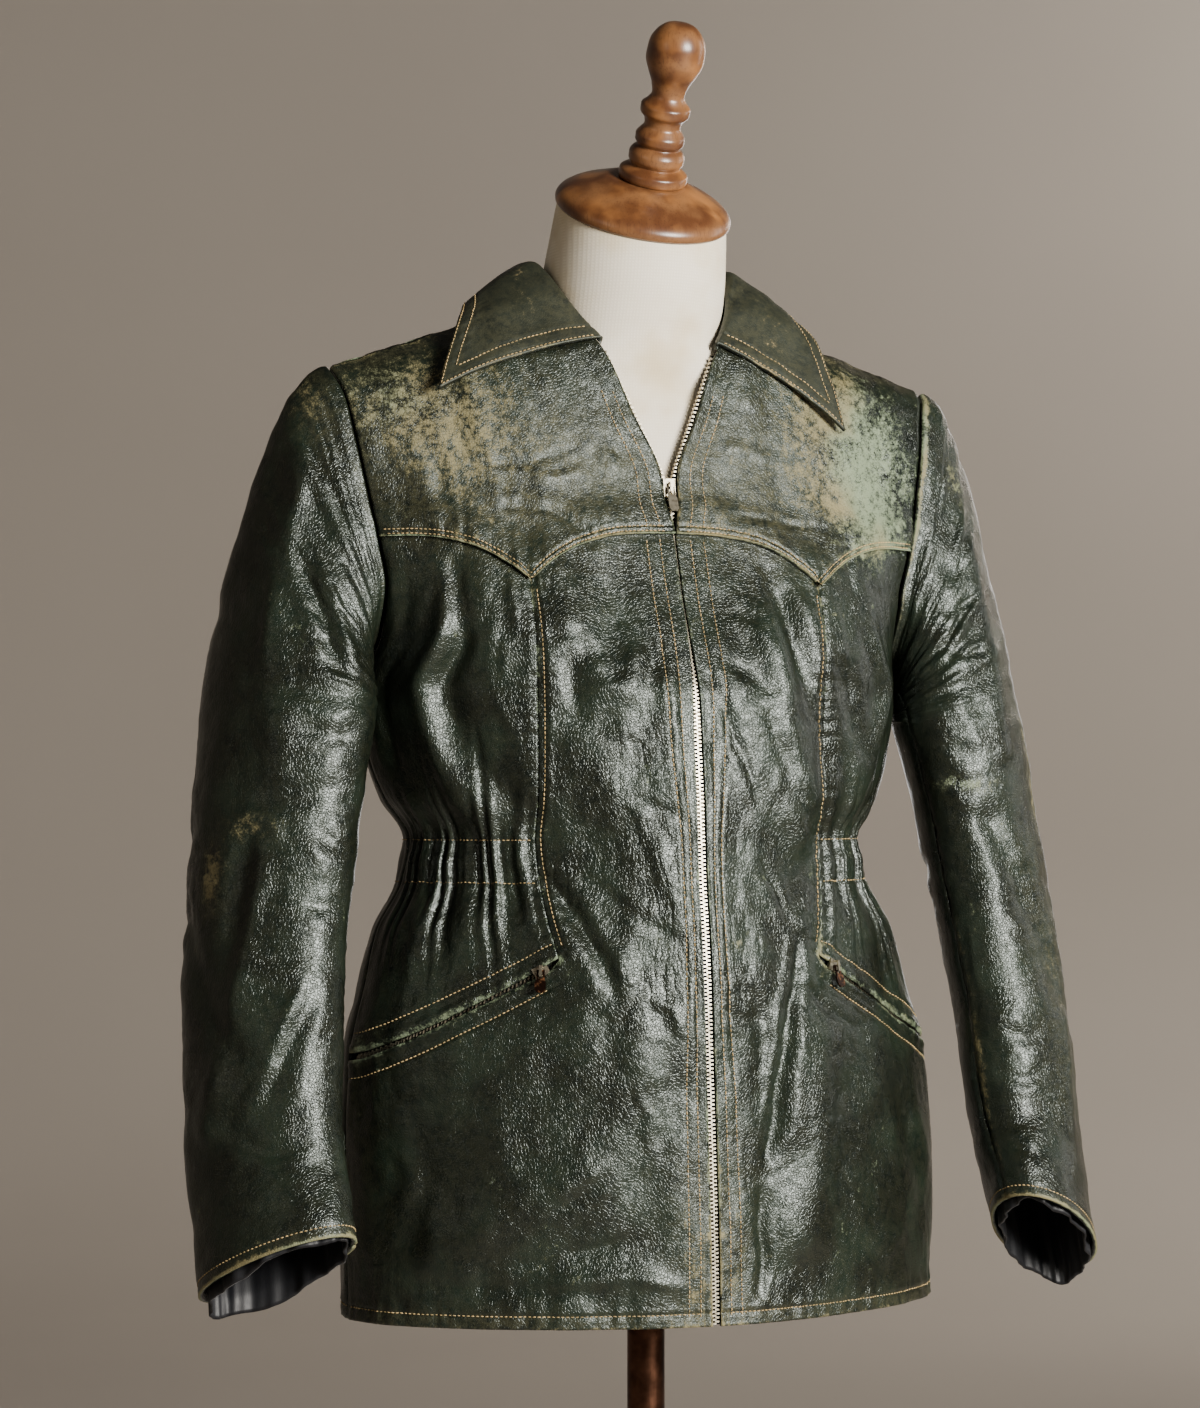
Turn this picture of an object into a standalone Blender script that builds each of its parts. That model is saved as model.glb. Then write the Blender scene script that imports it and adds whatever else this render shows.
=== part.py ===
"""Leather jacket with scalloped front yokes, drawn-in waist and slanted zip pockets, on a limbless dress form.

Metres, +Z up. The front faces -Y and the wearer's left is +X. The origin is on the floor under the pole.
Every cloth panel is a wall cut from one of two smooth shapes: the body, front and back, and the sleeve.
A body row is a cubic Bezier from the centre or zip edge round to the side seam or armhole.
"""

import math

import bmesh
import bpy
import numpy as np

MM = 0.001

# ---------------------------------------------------------------- driving sizes, in mm
LEATHER = 1.8            # wall of the leather
SEAM_GAP = 0.3           # between two sewn pieces
LAP = 8.0                # the yoke lies this far over the panels below it
LAP_RISE = 2.6           # and this far out from them
HEM = 705.0
UNDERARM = 1100.0
SHOULDER = 1350.0        # row name of the shoulder seam
NECK_CORNER = 1320.0     # row name of the front end of the neckline
NECK_BACK = 1328.0       # row name of the centre back of the neckline
WAIST_LOW, WAIST_HIGH = 981.0, 1008.0   # the two rows of elastic
QUARTER_GIRTH = 235.0    # mean run of a row from centre to side
POCKET_GAP = 4.4         # opening in which the pocket zip shows
YOKE_POINT_X, YOKE_POINT_Z = 100.0, 1170.0
YOKE_CENTRE_RISE, YOKE_SIDE_RISE = 33.5, 31.0
YOKE_SIDE_RUN = 75.0
POCKET_X, POCKET_Z = 90.0, 932.0
POCKET_END_X, POCKET_END_Z = 200.0, 871.0

# Front rows: the zip edge (x, y, z), the side seam or armhole (x, y, z), the handles of the curve as shares
# of the run, and the angle from +X at which the row reaches its outer end.
# Columns of front rows: row, zip_x, zip_y, zip_z, side_x, side_y, side_z, centre_k, side_k, angle.
FRONT_ROWS = np.array([
    (705, 3.0, -107, 705, 204, 12, 705, 0.40, 0.48, 90),
    (800, 3.0, -105, 800, 205, 11, 800, 0.38, 0.48, 90),
    (870, 3.0, -103, 870, 201, 11, 870, 0.34, 0.47, 90),
    (910, 3.0, -102, 910, 191, 14, 910, 0.31, 0.46, 90),
    (950, 3.0, -99, 950, 180, 18, 950, 0.30, 0.46, 90),
    (981, 3.0, -95, 981, 162, 22, 981, 0.34, 0.48, 90),
    (1008, 3.0, -93, 1008, 156, 24, 1008, 0.37, 0.48, 90),
    (1035, 3.0, -91, 1035, 172, 25, 1035, 0.42, 0.50, 90),
    (1062, 3.0, -88, 1062, 182, 27, 1062, 0.47, 0.50, 90),
    (1100, 2.4, -84, 1100, 188, 30, 1100, 0.53, 0.50, 90),
    (1135, 1.0, -73, 1135, 181, 4, 1140, 0.60, 0.42, 66),
    (1165, 0.7, -61, 1165, 181, -9, 1168, 0.62, 0.36, 45),
    (1195, 0.7, -51, 1195, 186, -11, 1195, 0.60, 0.35, 30),
    (1208, 1.0, -47, 1208, 188, -11, 1206, 0.58, 0.35, 27),
    (1225, 4.7, -43, 1225, 191, -10, 1218, 0.56, 0.35, 23),
    (1241, 5.4, -40, 1241, 193, -8, 1230, 0.54, 0.35, 20),
    (1280, 22.0, -33, 1282, 199.5, -3, 1265, 0.50, 0.35, 15),
    (1320, 41.0, -23, 1327, 204, 5, 1292, 0.45, 0.35, 10),
    (1335, 59.0, -2, 1346, 208, 13, 1304, 0.40, 0.35, 5),
    (1350, 69.0, 26, 1360, 210, 22, 1311, 0.35, 0.35, 0),
], float)
# Back rows: the side seam or armhole, then the centre back or neckline.
# Columns of back rows: row, side_x, side_y, side_z, mid_x, mid_y, mid_z, side_k, centre_k, angle.
BACK_ROWS = np.array([
    (705, 204, 12, 705, 0, 136, 705, 0.52, 0.52, 90),
    (800, 205, 11, 800, 0, 134, 800, 0.52, 0.52, 90),
    (870, 201, 11, 870, 0, 131, 870, 0.52, 0.52, 90),
    (910, 191, 14, 910, 0, 127, 910, 0.52, 0.52, 90),
    (950, 180, 18, 950, 0, 119, 950, 0.52, 0.52, 90),
    (981, 162, 22, 981, 0, 111, 981, 0.52, 0.52, 90),
    (1008, 156, 24, 1008, 0, 108, 1008, 0.52, 0.52, 90),
    (1035, 172, 25, 1035, 0, 111, 1035, 0.52, 0.52, 90),
    (1062, 182, 27, 1062, 0, 114, 1062, 0.52, 0.54, 90),
    (1100, 188, 30, 1100, 0, 118, 1100, 0.50, 0.58, 90),
    (1135, 183, 58, 1140, 0, 120, 1140, 0.42, 0.60, 120),
    (1165, 184, 71, 1168, 0, 121, 1170, 0.36, 0.60, 138),
    (1195, 188, 76, 1195, 0, 121, 1200, 0.34, 0.60, 150),
    (1241, 194, 71, 1232, 0, 119, 1246, 0.34, 0.56, 160),
    (1280, 201, 59, 1266, 0, 115, 1290, 0.34, 0.50, 165),
    (1320, 206, 43, 1293, 0, 106, 1338, 0.34, 0.45, 170),
    (1328, 207.3, 38, 1298, 0, 99, 1350, 0.34, 0.42, 172),
    (1334, 208.3, 34, 1302, 26, 94, 1351.5, 0.34, 0.38, 174),
    (1339, 209.0, 30, 1305, 48, 78, 1354, 0.34, 0.35, 176),
    (1345, 209.6, 26, 1308.5, 63, 54, 1357.5, 0.34, 0.34, 178),
    (1350, 210, 22, 1311, 69, 26, 1360, 0.35, 0.35, 180),
], float)
# Where the visible chain of the front zip runs: half the distance between the two rows of teeth.
CHAIN_ROWS = np.array([
    (705, 0.15), (1231, 0.15), (1238, 1.7), (1245, 3.6), (1262, 11.0), (1280, 19.0), (1320, 38.3),
], float)
# Sleeve rings from the top of the arm to the cuff, one table for both sides.
# Columns of sleeve rows: height, centre_x, centre_y, long_radius, short_radius.
SLEEVE_ROWS = np.array([
    (-1085, 238, 20, 61, 44),
    (-1030, 247, 13, 58, 41),
    (-960, 256, 3, 56, 39),
    (-900, 262, -9, 55, 38),
    (-820, 265, -24, 54, 36),
    (-746, 265, -52, 53, 34),
], float)
CUFF_SLOPE_OUT = {1: 0.38, -1: 0.10}    # the cuff drops towards the outer side
CUFF_SLOPE_BACK = {1: 0.42, -1: 0.48}   # and towards the back
CUFF_BEND = 110.0                       # length over which the rings turn to the cuff's slope
SLEEVE_TURN = math.radians(50)          # the long radius runs from the inner front to the outer back
INNER_ANGLE = math.radians(140)         # ring angle of the innermost line
CAP_REACH, CAP_LIFT, CAP_DROP = 0.125, 0.02, 0.47
ARMHOLE_GAP = 0.9
FRONT_SLEEVE_SEAM, BACK_SLEEVE_SEAM = 0.03, 0.66

# Folds of the body: surface, side (1 is the wearer's left), start (across, height), end, half width, rise in mm.
# Columns of the folds: surface, side, across_0, height_0, across_1, height_1, half_width, rise.
BODY_FOLDS = (
    ("front", -1, 0.74, 1170, 0.60, 1010, 14, 5.0),
    ("front", -1, 0.62, 1130, 0.50, 1030, 12, -3.0),
    ("front", -1, 0.26, 930, 0.18, 860, 12, 3.0),
    ("front", -1, 0.30, 800, 0.62, 755, 15, 3.5),
    ("front", -1, 0.20, 760, 0.50, 735, 12, -2.5),
    ("front", 1, 0.12, 1175, 0.37, 1015, 13, 4.5),
    ("front", 1, 0.22, 1165, 0.40, 1060, 12, -3.0),
    ("front", 1, 0.16, 1090, 0.36, 1010, 11, 3.5),
    ("front", 1, 0.33, 880, 0.24, 760, 16, 6.0),
    ("front", 1, 0.18, 900, 0.12, 740, 11, -3.0),
    ("front", 1, 0.66, 1130, 0.60, 1030, 12, 3.0),
    ("back", -1, 0.30, 1230, 0.55, 1060, 16, 4.0),
    ("back", -1, 0.55, 930, 0.50, 790, 18, 5.0),
    ("back", 1, 0.34, 1220, 0.60, 1075, 16, 4.0),
    ("back", 1, 0.48, 940, 0.42, 770, 18, 5.0),
)
SIDE_GATHERS, BACK_GATHERS = 10, 18
GATHER_DEPTH = 2.0
GATHER_REACH = 26.0
WAIST_PUFF = 2.2
SKIRT_SWAY = 3.5

# Folds of the sleeves: side, start (round, down), end, half width, rise.
SLEEVE_FOLDS = (
    (-1, 0.40, 0.35, 0.30, 1.10, 11, 3.5),
    (-1, 0.52, 1.35, 0.36, 1.60, 10, -3.0),
    (-1, 0.32, 1.45, 0.42, 1.75, 10, 3.0),
    (-1, 0.80, 1.30, 0.62, 1.50, 12, -3.5),
    (1, 0.34, 0.40, 0.26, 1.05, 11, 3.5),
    (1, 0.20, 1.20, 0.34, 1.55, 11, -3.0),
    (1, 0.36, 1.40, 0.30, 1.80, 10, 3.0),
    (1, 0.80, 1.35, 0.64, 1.55, 12, -3.5),
)

# Collar, by its edges from the centre back to the front corner (share of the way, x, y, z).
COLLAR_FOLD = np.array([
    (0.00, 0, 93, 1387), (0.22, 40, 82, 1387), (0.42, 64, 54, 1387), (0.58, 70, 25, 1384),
    (0.75, 61, 0, 1362), (0.90, 49, -15, 1341), (1.00, 42, -23, 1331),
], float)
COLLAR_EDGE = {
    1: np.array([
        (0.00, 0, 121, 1324), (0.22, 55, 110, 1334), (0.42, 96, 72, 1349), (0.58, 113, 30, 1354),
        (0.75, 121, 3, 1341), (0.90, 127, -17, 1306), (1.00, 130, -29, 1277),
    ], float),
    -1: np.array([
        (0.00, 0, 121, 1324), (0.22, 55, 110, 1334), (0.42, 97, 72, 1349), (0.58, 114, 30, 1354),
        (0.75, 127, 5, 1342), (0.90, 142, -12, 1316), (1.00, 152, -24, 1293),
    ], float),
}
COLLAR_WALL = 2.2

# Dress form, by its rings (mm): height, centre y, half width, front depth, back depth, forward tilt in degrees.
# Columns of form rows: height, centre_y, half_width, front, back, tilt.
FORM_ROWS = np.array([
    (800, 20, 150, 80, 88, 0),
    (806, 20, 158, 86, 94, 0),
    (850, 20, 164, 88, 96, 0),
    (900, 20, 158, 86, 90, 0),
    (960, 20, 137, 78, 76, 0),
    (1000, 20, 131, 75, 70, 0),
    (1050, 20, 143, 78, 76, 0),
    (1100, 20, 162, 82, 82, 0),
    (1150, 20, 168, 76, 84, 0),
    (1200, 20, 168, 60, 84, 0),
    (1240, 20, 163, 50, 80, 0),
    (1275, 22, 152, 46, 74, 0),
    (1300, 26, 122, 45, 64, 0),
    (1317, 30, 86, 54, 60, 0),
    (1333, 31, 65, 58, 60, 0),
    (1352, 27, 61, 60, 60, 3),
    (1374, 21, 60.5, 60, 60, 10),
    (1398, 13, 58.5, 58, 58, 19),
    (1418, 6.5, 56.5, 56.5, 56.5, 28),
], float)
CAP_TILT = math.radians(28)
CAP_CENTRE = np.array((0.0, 6.5, 1418.0))
FINIAL_OFFSET = np.array((2.5, 0.0, 0.0))
CAP_PROFILE = (   # radius, height along the tilted axis
    (0, 0.3), (56.0, 0.3), (58.2, 2.0), (58.6, 4.5), (57.6, 7.5), (53.0, 12.0), (45.0, 16.5),
    (35.0, 20.5), (25.0, 24.0), (0, 24.0),
)
FINIAL_PROFILE = (
    (0, 24.3), (21.5, 24.3), (22.8, 26.8), (22.6, 30.2), (19.5, 33.0), (16.4, 35.0), (18.2, 38.2), (18.4, 42.0),
    (16.6, 45.6), (14.2, 48.0), (16.2, 51.0), (16.3, 54.6), (14.0, 58.4), (12.0, 61.6), (12.8, 65.8),
    (16.2, 70.0), (16.4, 74.4), (13.0, 78.4), (10.8, 82.6), (12.4, 89.6), (16.4, 98.0), (19.0, 106.6),
    (18.6, 115.4), (14.6, 124.2), (7.6, 129.4), (0, 130.4),
)
POLE_RADIUS = 12.2
BASE_PROFILE = ((0, 0), (168, 0), (170, 2), (170, 9), (164, 14), (110, 22), (40, 31), (24, 44), (17, 46), (0, 46))

# ---------------------------------------------------------------- tables and curves


def table_slopes(x, y):
    """Slope at each row of a table, flat where a column turns, so that no column overshoots."""
    step = np.diff(x)[:, None]
    rise = np.diff(y, axis=0) / step
    slope = np.zeros_like(y)
    slope[0], slope[-1] = rise[0], rise[-1]
    before, after = rise[:-1], rise[1:]
    same = before * after > 0
    both = np.where(same, before + after, 1.0)
    slope[1:-1] = np.where(same, 2 * before * after / both, 0.0)
    return slope


def read_table(table, key):
    """The columns after the first, read at key by a cubic through the rows."""
    x, y = table[:, 0], table[:, 1:]
    slope = table_slopes(x, y)
    key = np.asarray(key, float)
    i = np.clip(np.searchsorted(x, key, side="right") - 1, 0, len(x) - 2)
    step = (x[i + 1] - x[i])[..., None]
    s = np.clip((key - x[i])[..., None] / step, 0, 1)
    s2, s3 = s * s, s * s * s
    return ((2 * s3 - 3 * s2 + 1) * y[i] + (s3 - 2 * s2 + s) * step * slope[i]
            + (3 * s2 - 2 * s3) * y[i + 1] + (s3 - s2) * step * slope[i + 1])


def bezier(p0, p1, p2, p3, t):
    t = np.asarray(t, float)[..., None]
    r = 1 - t
    return r * r * r * p0 + 3 * r * r * t * p1 + 3 * r * t * t * p2 + t * t * t * p3


def smooth_step(x, lo, hi):
    s = np.clip((np.asarray(x, float) - lo) / (hi - lo), 0, 1)
    return s * s * (3 - 2 * s)


# ---------------------------------------------------------------- body


def front_base(t, v):
    """A point of the front in mm: t runs from the zip edge (0) to the side seam or armhole (1), v is the row."""
    c = read_table(FRONT_ROWS, v)
    p0, p3 = c[..., 0:3], c[..., 3:6]
    dx, dy, dz = np.abs(p3 - p0)[..., 0], np.abs(p3 - p0)[..., 1], (p3 - p0)[..., 2]
    angle = np.radians(c[..., 8])
    reach = c[..., 7] * (dx * np.cos(angle) + dy * np.sin(angle))
    zero = np.zeros_like(dx)
    p1 = p0 + np.stack([c[..., 6] * dx, zero, c[..., 6] * dz], -1)
    p2 = p3 - np.stack([reach * np.cos(angle), reach * np.sin(angle), c[..., 7] * dz], -1)
    return bezier(p0, p1, p2, p3, t)


def back_base(t, v):
    """A point of the back in mm: t runs from the side seam or armhole (0) to the centre back or neckline (1)."""
    c = read_table(BACK_ROWS, v)
    p0, p3 = c[..., 0:3], c[..., 3:6]
    below_arm = (np.asarray(v, float) <= UNDERARM)[..., None]
    p0 = np.where(below_arm, read_table(FRONT_ROWS, v)[..., 3:6], p0)
    dx, dy, dz = np.abs(p3 - p0)[..., 0], np.abs(p3 - p0)[..., 1], (p3 - p0)[..., 2]
    angle = np.radians(c[..., 8])
    reach = c[..., 6] * (dx * np.abs(np.cos(angle)) + dy * np.sin(angle))
    zero = np.zeros_like(dx)
    p1 = p0 + np.stack([reach * np.cos(angle), reach * np.sin(angle), c[..., 6] * dz], -1)
    p2 = p3 + np.stack([c[..., 7] * dx, zero, -c[..., 7] * dz], -1)
    return bezier(p0, p1, p2, p3, t)


BASES = {"front": front_base, "back": back_base}


def yoke_seam(x):
    """Height of the scalloped yoke seam over x: a long arc from the centre to the point, a short one beyond."""
    x = np.abs(np.asarray(x, float))
    inner = YOKE_POINT_Z + YOKE_CENTRE_RISE * (1 - np.clip(x / YOKE_POINT_X, 0, 1) ** 3.2)
    s = np.clip((x - YOKE_POINT_X) / YOKE_SIDE_RUN, 0, 1)
    outer = YOKE_POINT_Z + YOKE_SIDE_RISE * (1 - (1 - s) ** 2.4)
    return np.where(x < YOKE_POINT_X, inner, outer)


def pocket_line(x):
    """Height of the pocket zip over x, a straight slant."""
    share = (np.abs(x) - POCKET_X) / (POCKET_END_X - POCKET_X)
    return POCKET_Z + (POCKET_END_Z - POCKET_Z) * share


def across_at(x, v, lo=-0.2, hi=1.0):
    """The t at which front row v is x mm from the centre, by halving."""
    x, v = np.broadcast_arrays(np.asarray(x, float), np.asarray(v, float))
    a, b = np.full(x.shape, lo), np.full(x.shape, hi)
    for _ in range(40):
        m = (a + b) / 2
        short = front_base(m, v)[..., 0] < x
        a, b = np.where(short, m, a), np.where(short, b, m)
    return (a + b) / 2


def along_line(line, t, v, offset=0.0):
    """The rows at which columns t meet a seam given as a height over x, by repeated substitution from v."""
    v = np.full(np.shape(t), float(v))
    for _ in range(6):
        v = line(front_base(t, v)[..., 0]) + offset
    return v


def back_across_at(x, v):
    """The t at which back row v is x mm from the centre, by halving."""
    x, v = np.broadcast_arrays(np.asarray(x, float), np.asarray(v, float))
    a, b = np.zeros(x.shape), np.ones(x.shape)
    for _ in range(40):
        m = (a + b) / 2
        far = back_base(m, v)[..., 0] > x
        a, b = np.where(far, m, a), np.where(far, b, m)
    return (a + b) / 2


PRINCESS_ROWS = np.array([(900, 88), (932, 90), (960, 95), (1009, 99), (1100, 100), (1190, 100)], float)


def princess(v):
    """The t of the seam from the yoke point to the pocket."""
    v = np.asarray(v, float)
    return across_at(read_table(PRINCESS_ROWS, v)[..., 0], v)


def segment_distance(a, b, a0, b0, a1, b1):
    da, db = a1 - a0, b1 - b0
    s = np.clip(((a - a0) * da + (b - b0) * db) / (da * da + db * db), 0, 1)
    return np.hypot(a - a0 - s * da, b - b0 - s * db)


def fold_relief(surface, side, t, v):
    """Soft ridges and troughs, each a bell across its line, faded out near the zip, the seams and the waist."""
    out = np.zeros(np.broadcast(t, v).shape)
    for name, where, t0, v0, t1, v1, half, rise in BODY_FOLDS:
        if name == surface and where == side:
            far = segment_distance(t * QUARTER_GIRTH, v, t0 * QUARTER_GIRTH, v0, t1 * QUARTER_GIRTH, v1)
            out = out + rise * np.exp(-((far / half) ** 2))
    centre = smooth_step(t, 0.04, 0.16) if surface == "front" else 1.0
    side_fade = smooth_step(1 - t, 0.0, 0.08) if surface == "front" else smooth_step(t, 0.0, 0.08)
    top = smooth_step(1172 - v, 0, 50) if surface == "front" else smooth_step(SHOULDER - v, 100, 150)
    hem = 0.4 + 0.6 * smooth_step(v, HEM, HEM + 40)
    return out * centre * side_fade * top * hem


def waist_shape(v):
    """How strongly the elastic gathers show at row v."""
    outside = np.maximum(np.maximum(WAIST_LOW - v, v - WAIST_HIGH), 0)
    return np.exp(-((outside / GATHER_REACH) ** 1.4))


def gather_relief(count, share, v, pinned_ends=True):
    """Gathers: a wave of count folds over the panel's width, uneven in depth, and the puff between the rows."""
    wave = np.cos(2 * math.pi * count * share) * (1 + 0.35 * np.sin(11.0 * share + 0.8))
    ends = smooth_step(share, 0, 0.10) * smooth_step(1 - share, 0, 0.10) if pinned_ends else 1.0
    middle = (WAIST_LOW + WAIST_HIGH) / 2
    puff = WAIST_PUFF * np.exp(-(((v - middle) / 8.0) ** 2))
    return (GATHER_DEPTH * wave * waist_shape(v) + puff) * ends


def sway(v):
    """How far the skirt hangs towards the wearer's left."""
    return SKIRT_SWAY * (1 - smooth_step(v, HEM, WAIST_LOW))


def on_body(surface, side, t, v, lift=0.0, relief=None):
    """Points of the worn cloth's outer face in mm, moved out by lift, and the outward normals."""
    base = BASES[surface]
    t, v = np.broadcast_arrays(np.asarray(t, float), np.asarray(v, float))
    step_t, step_v = 0.004, 1.0
    t_lo = np.maximum(t - step_t, -0.2 if surface == "front" else 0.0)
    t_hi = np.minimum(t + step_t, 1.0)
    v_lo, v_hi = np.maximum(v - step_v, HEM), np.minimum(v + step_v, SHOULDER)
    along = base(t_hi, v) - base(t_lo, v)
    up = base(t, v_hi) - base(t, v_lo)
    normal = np.cross(along, up)
    normal /= np.linalg.norm(normal, axis=-1, keepdims=True)
    high = fold_relief(surface, side, t, v) + lift
    if relief is not None:
        high = high + relief
    point = base(t, v) + high[..., None] * normal
    mirror = np.array([side, 1.0, 1.0])
    shift = np.stack([sway(v), 0 * v, 0 * v], -1)
    return point * mirror + shift, normal * mirror


# ---------------------------------------------------------------- sleeve


def armhole_loop():
    """The armhole as a closed curve: from the underarm up the front, over the shoulder and down the back."""
    v = np.linspace(UNDERARM, SHOULDER, 160)
    front = front_base(np.ones_like(v), v)
    back = back_base(np.zeros_like(v), v)[::-1]
    loop = np.concatenate([front, back[1:]])
    run = np.concatenate([[0], np.cumsum(np.linalg.norm(np.diff(loop, axis=0), axis=1))])
    half = run[len(v) - 1]
    share = np.where(run < half, 0.5 * run / half, 0.5 + 0.5 * (run - half) / (run[-1] - half))
    return share, loop


ARMHOLE_SHARE, ARMHOLE = armhole_loop()


def sleeve_ring(side, share, height):
    """Points of a ring round the arm: a slanted ellipse that turns to the cuff's slope near its end."""
    c = read_table(SLEEVE_ROWS, -height)
    angle = INNER_ANGLE + 2 * math.pi * share
    wide, deep = c[..., 2] * np.cos(angle), c[..., 3] * np.sin(angle)
    dx = wide * math.cos(SLEEVE_TURN) - deep * math.sin(SLEEVE_TURN)
    dy = wide * math.sin(SLEEVE_TURN) + deep * math.cos(SLEEVE_TURN)
    bend = smooth_step(CUFF_BEND - (height + SLEEVE_ROWS[-1, 0]), 0, CUFF_BEND)
    dz = -bend * (CUFF_SLOPE_OUT[side] * dx + CUFF_SLOPE_BACK[side] * dy)
    beyond = np.minimum(height + SLEEVE_ROWS[-1, 0], 0)
    return np.stack([c[..., 0] + dx, c[..., 1] + dy + 0.2 * beyond, height + dz], -1)


def sleeve_base(side, share, down):
    """Down from 0 to 1 is the cap, a Bezier from the armhole to the top ring, and from 1 to 2 the arm."""
    share, down = np.broadcast_arrays(np.asarray(share, float), np.asarray(down, float))
    top, cuff = -SLEEVE_ROWS[0, 0], -SLEEVE_ROWS[-1, 0]
    loop = np.mod(share, 1.0)
    p0 = np.stack([np.interp(loop, ARMHOLE_SHARE, ARMHOLE[:, i]) for i in range(3)], -1)
    p0[..., 0] += ARMHOLE_GAP
    p3 = sleeve_ring(side, share, np.full(share.shape, top))
    far = np.linalg.norm(p3 - p0, axis=-1)[..., None]
    p1 = p0 + far * np.array([CAP_REACH, 0, CAP_LIFT])
    p2 = p3 + CAP_DROP * far * np.array([-0.16, 0.10, 0.98])
    cap = bezier(p0, p1, p2, p3, np.clip(down, 0, 1))
    arm = sleeve_ring(side, share, top + (cuff - top) * np.maximum(down - 1, 0))
    return np.where((down < 1)[..., None], cap, arm)


def sleeve_fold_relief(side, share, down):
    out = np.zeros(np.broadcast(share, down).shape)
    girth, length = 300.0, 345.0
    for where, s0, d0, s1, d1, half, rise in SLEEVE_FOLDS:
        if where == side:
            far = segment_distance(share * girth, down * length, s0 * girth, d0 * length, s1 * girth, d1 * length)
            out = out + rise * np.exp(-((far / half) ** 2))
    return out * smooth_step(down, 0.1, 0.4) * smooth_step(2.0 - down, 0.0, 0.15)


def on_sleeve(side, share, down, lift=0.0):
    share, down = np.broadcast_arrays(np.asarray(share, float), np.asarray(down, float))
    step_s, step_d = 0.004, 0.004
    along = sleeve_base(side, share + step_s, down) - sleeve_base(side, share - step_s, down)
    fall = sleeve_base(side, share, down + step_d) - sleeve_base(side, share, np.maximum(down - step_d, 0))
    normal = np.cross(fall, along)
    normal /= np.linalg.norm(normal, axis=-1, keepdims=True)
    high = sleeve_fold_relief(side, share, down) + lift
    point = sleeve_base(side, share, down) + high[..., None] * normal
    mirror = np.array([side, 1.0, 1.0])
    return point * mirror, normal * mirror


# ---------------------------------------------------------------- meshes and materials

MATERIALS = {
    "leather": ((0.022, 0.038, 0.031), 0.34, 0.0),
    "lining": ((0.010, 0.013, 0.022), 0.40, 0.0),
    "zip_metal": ((0.62, 0.60, 0.56), 0.30, 1.0),
    "zip_tape": ((0.03, 0.04, 0.035), 0.85, 0.0),
    "brown_metal": ((0.06, 0.03, 0.02), 0.40, 1.0),
    "canvas": ((0.72, 0.64, 0.49), 0.70, 0.0),
    "wood": ((0.20, 0.075, 0.030), 0.32, 0.0),
    "pole_metal": ((0.20, 0.11, 0.07), 0.35, 1.0),
}


def material(name):
    if name in bpy.data.materials:
        return bpy.data.materials[name]
    colour, roughness, metallic = MATERIALS[name]
    made = bpy.data.materials.new(name)
    made.use_nodes = True
    shader = made.node_tree.nodes["Principled BSDF"]
    shader.inputs["Base Color"].default_value = (*colour, 1)
    shader.inputs["Roughness"].default_value = roughness
    shader.inputs["Metallic"].default_value = metallic
    return made


def add_object(name, points_mm, faces, finish, smooth=True):
    mesh = bpy.data.meshes.new(name)
    mesh.from_pydata((np.asarray(points_mm).reshape(-1, 3) * MM).tolist(), [], faces)
    mesh.update()
    if smooth:
        mesh.shade_smooth()
        mesh.set_sharp_from_angle(angle=math.radians(40))
    made = bpy.data.objects.new(name, mesh)
    mesh.materials.append(material(finish))
    bpy.context.scene.collection.objects.link(made)
    return made


def wall(name, outer, inner, finish, side=1, closed_round=False):
    """A closed wall between two grids of points (rows up, columns across the outside, left to right)."""
    m, n = outer.shape[:2]
    points = np.concatenate([outer.reshape(-1, 3), inner.reshape(-1, 3)])
    faces = []

    def at(layer, i, j):
        return layer * m * n + i * n + (j % n)

    spans = n if closed_round else n - 1
    for i in range(m - 1):
        for j in range(spans):
            faces.append((at(0, i, j), at(0, i, j + 1), at(0, i + 1, j + 1), at(0, i + 1, j)))
            faces.append((at(1, i, j), at(1, i + 1, j), at(1, i + 1, j + 1), at(1, i, j + 1)))
    for j in range(spans):
        faces.append((at(1, 0, j), at(1, 0, j + 1), at(0, 0, j + 1), at(0, 0, j)))
        faces.append((at(0, m - 1, j), at(0, m - 1, j + 1), at(1, m - 1, j + 1), at(1, m - 1, j)))
    if not closed_round:
        for i in range(m - 1):
            faces.append((at(0, i, 0), at(0, i + 1, 0), at(1, i + 1, 0), at(1, i, 0)))
            faces.append((at(1, i, n - 1), at(1, i + 1, n - 1), at(0, i + 1, n - 1), at(0, i, n - 1)))
    if side < 0:
        faces = [tuple(reversed(face)) for face in faces]
    return add_object(name, points, faces, finish)


def swept(name, sections, finish, flip=False):
    """A closed solid through equal many-sided sections, with flat ends."""
    m, n = sections.shape[:2]
    faces = [tuple(range(n))[::-1], tuple((m - 1) * n + j for j in range(n))]
    for i in range(m - 1):
        for j in range(n):
            k = (j + 1) % n
            faces.append((i * n + j, i * n + k, (i + 1) * n + k, (i + 1) * n + j))
    if flip:
        faces = [tuple(reversed(face)) for face in faces]
    return add_object(name, sections.reshape(-1, 3), faces, finish)


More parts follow.
